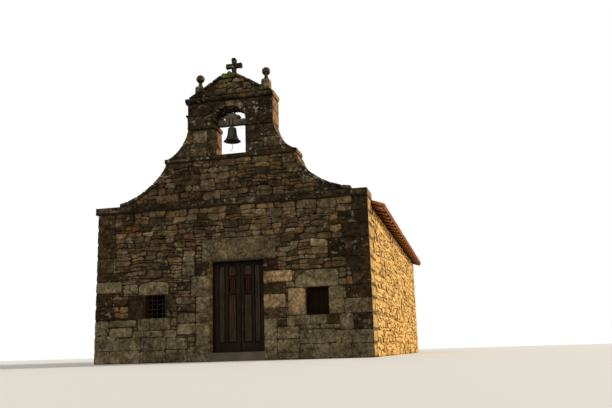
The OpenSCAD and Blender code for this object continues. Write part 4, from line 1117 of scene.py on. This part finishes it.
def eaves():
    """Fillets under the lowest tiles, and the boards that carry the tiles at the front corners."""
    fillets, boards, stubs = Pile(), Pile(), Pile()

    def band(pile, side, x0, x1, low, high, y0, y1):
        v = [(side * x, YF + y, EAVE_Z + (HALF_W - x) * RISE + up) for y in (y0, y1)
             for x, up in rect(x0, x1, low, high)]
        q = [(0, 1, 2, 3), (7, 6, 5, 4), (0, 4, 5, 1), (1, 5, 6, 2), (2, 6, 7, 3), (3, 7, 4, 0)]
        pile.add(v, [f[::-1] for f in q] if side < 0 else q)

    for side in (-1, 1):
        y = CORNER_Y
        while y < LEN + 0.08:
            end = min(y + 2.4, LEN + 0.088)
            band(fillets, side, 3.686, 3.702, 0.068, 0.0895, y + 0.002, end - 0.002)
            y = end
        for x in (3.406, 3.524):
            band(boards, side, x, x + 0.115, 0.0905, 0.1115, CORNER_Y + 0.025, FRONT_T + 0.002)
        band(stubs, side, 3.403, 3.676, 0.0, 0.09, CORNER_Y + 0.03, CORNER_Y + 0.11)
    fillets.piece("eave_fillets", FILLET, "timber", smooth=False)
    boards.piece("eave_corner_boards", BOARDS, "timber", smooth=False)
    stubs.piece("eave_corner_stubs", TIMBER, "timber", smooth=False)


roof()
eaves()


# Window grille, hook, door and bell
def box_solid(pile, lo, hi):
    v = [(x, y, z) for z in (lo[2], hi[2]) for y in (lo[1], hi[1]) for x in (lo[0], hi[0])]
    pile.add(v, [(0, 2, 3, 1), (4, 5, 7, 6), (0, 1, 5, 4), (2, 6, 7, 3), (0, 4, 6, 2), (1, 3, 7, 5)])


def stud(pile, x, y, z, r, h, sides=10):
    """A round head on a face that looks to -Y."""
    verts = [(x + u, y - out, z + v) for rr, out in ((r, 0), (r, h * 0.6), (r * 0.6, h)) for u, v in circle(rr, sides)]
    pile.add(verts + [(x, y - h, z)], ring_quads(sides, 3), fan(sides, 2 * sides, 3 * sides))


def ironwork():
    grille, hook = Pile(), Pile()
    x0, width, z0, height = -2.11, 0.53, 1.05, 0.55  # the left window's opening
    y = YF + 0.16
    for k in range(1, 4):
        x = x0 + width * k / 4
        box_solid(grille, (x - 0.007, y - 0.007, 1.052), (x + 0.007, y + 0.007, 1.598))
    for k in range(1, 5):
        z = z0 + height * k / 5
        box_solid(grille, (-2.108, y - 0.015, z - 0.006), (-1.586, y - 0.007, z + 0.006))
    grille.piece("left_window_grille", IRON, "iron", smooth=False)
    tongue = [(-1.02, 5.955), (-1.02, 6.085), (-1.122, 6.09), (-1.11, 6.06), (-1.045, 5.958)]
    block(hook, FRONT, tongue, -0.08, -0.045, random.Random(97), back=True, amp=0.003, edge=0.006, seg=0.03)
    hook.piece("belfry_hook", IRON, "iron")


# The door leaves: side, body, hinge edge, meeting edge, opening behind the slats
LEAVES = ((-1, "left_door", -0.489, 0.243, (-0.05, 0.13)), (1, "right_door", 0.929, 0.257, (0.34, 0.52)))


def door_trim():
    for side, body, outer, meet, (x0, x1) in LEAVES:
        nails, slats = Pile(), Pile()
        for z in (0.245, 1.575, 1.945, 2.325):
            for k in range(6):
                stud(nails, outer + (meet - outer) * (k + 0.5) / 6, LEAF_Y, z, 0.006, 0.004)
        nails.piece(body + "_nails", IRON, "iron", body=body)
        for k in (1, 2, 3):
            x = x0 + (x1 - x0) * k / 4
            box_solid(slats, (x - 0.015, LEAF_Y + 0.021, 1.602), (x + 0.015, LEAF_Y + 0.039, 1.918))
        slats.piece(body + "_slats", SLATS, "door_wood", body=body, smooth=False)
    latch = Pile()
    x = 0.257 + 0.034
    box_solid(latch, (x - 0.02, LEAF_Y - 0.005, 1.13), (x + 0.02, LEAF_Y, 1.29))
    stud(latch, x, LEAF_Y - 0.005, 1.235, 0.01, 0.018)
    box_solid(latch, (x - 0.075, LEAF_Y - 0.034, 1.228), (x + 0.01, LEAF_Y - 0.022, 1.243))
    latch.piece("right_door_latch", IRON, "iron", body="right_door", smooth=False)


def bell_radius(z):
    t = (5.665 - z) / 0.315
    return 0.106 + 0.028 * t + 0.081 * t ** 4


def bell_bands(sides=56, lip=5.351):
    pile = Pile()
    for z, r in ((5.352, 0.003), (5.372, 0.0035), (5.425, 0.003), (5.436, 0.003), (5.6, 0.003), (5.612, 0.0035)):
        profile = [(bell_radius(max(z + r * math.sin(t), lip)) + r * math.cos(t), z + r * math.sin(t))
                   for t in np.linspace(-1.4, 1.4, 6)]
        verts = [(BELL_X + u, YF + BELFRY_T / 2 + v, h) for q, h in profile for u, v in circle(q, sides)]
        pile.add(verts, ring_quads(sides, len(profile)))
    pile.piece("bell_bands", BRONZE, "bronze", body="swinging_bell")


ironwork()
door_trim()
bell_bands()

# Materials of the CAD pieces that show
LOOKS = {
    MORTAR: "front_wall_left front_wall_right front_wall_over_door gable_wall belfry_piers belfry_shoulders bell_arch "
            "pediment lower_string_course upper_string_course",
    MORTAR_WARM: "left_side_wall right_side_wall rear_wall",
    FLAGS: "floor threshold door_jambs door_lintel door_back_lintel",
    SHADED: "window_lintels window_jambs window_sills",
    TIMBER: "ridge_beam rafters",
    BOARDS: "roof_boards",
    DOOR: "left_door_leaf right_door_leaf",
    SHUTTER: "right_window_board",
    YOKE: "bell_yoke",
    IRON: "door_pintles left_door_ironwork right_door_ironwork yoke_bearings yoke_ironwork clapper",
    BRONZE: "bell",
}
for material, names in LOOKS.items():
    for name in names.split():
        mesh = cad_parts[name].data
        mesh.materials.clear()
        mesh.materials.append(material)


# Floor, light and background
def sun(name, towards, strength, angle, colour):
    data = bpy.data.lights.new(name, "SUN")
    data.energy = strength
    data.angle = math.radians(angle)
    data.color = colour
    added(name, data).rotation_euler = Vector(towards).to_track_quat("-Z", "Y").to_euler()


def studio():
    me = bpy.data.meshes.new("studio_floor")
    me.from_pydata([(-90, -90, 0), (90, -90, 0), (90, 90, 0), (-90, 90, 0)], [], [(0, 1, 2, 3)])
    floor = added("studio_floor", me)
    look = Look("studio_floor")
    look.bsdf.inputs["Base Color"].default_value = (0.8, 0.8, 0.79, 1)
    look.bsdf.inputs["Roughness"].default_value = 0.9
    me.materials.append(look.material)

    # The camera, gloss and glass see white; the object is lit by a soft, dimmer world
    scene = bpy.context.scene
    scene.world = bpy.data.worlds.new("world")
    sky = Nodes(scene.world, "OutputWorld")
    soft = sky.node("Background", {0: (1.0, 0.97, 0.92, 1), 1: 0.4}).outputs[0]
    white = sky.node("Background", {0: (1, 1, 1, 1), 1: 1.0}).outputs[0]
    path = sky.node("LightPath").outputs
    seen = sky.math("MAXIMUM", path["Is Camera Ray"], path["Is Glossy Ray"])
    seen = sky.math("MAXIMUM", seen, path["Is Transmission Ray"])
    sky.surface(sky.node("MixShader", {0: seen, 1: soft, 2: white}))

    sun("key", (-1.0, -0.5, -0.4), 3.7, 7, (1.0, 0.89, 0.7))
    sun("fill", (0.12, 1.0, -0.55), 0.68, 22, (1.0, 0.96, 0.9))
    scene.view_settings.view_transform = "Standard"


studio()
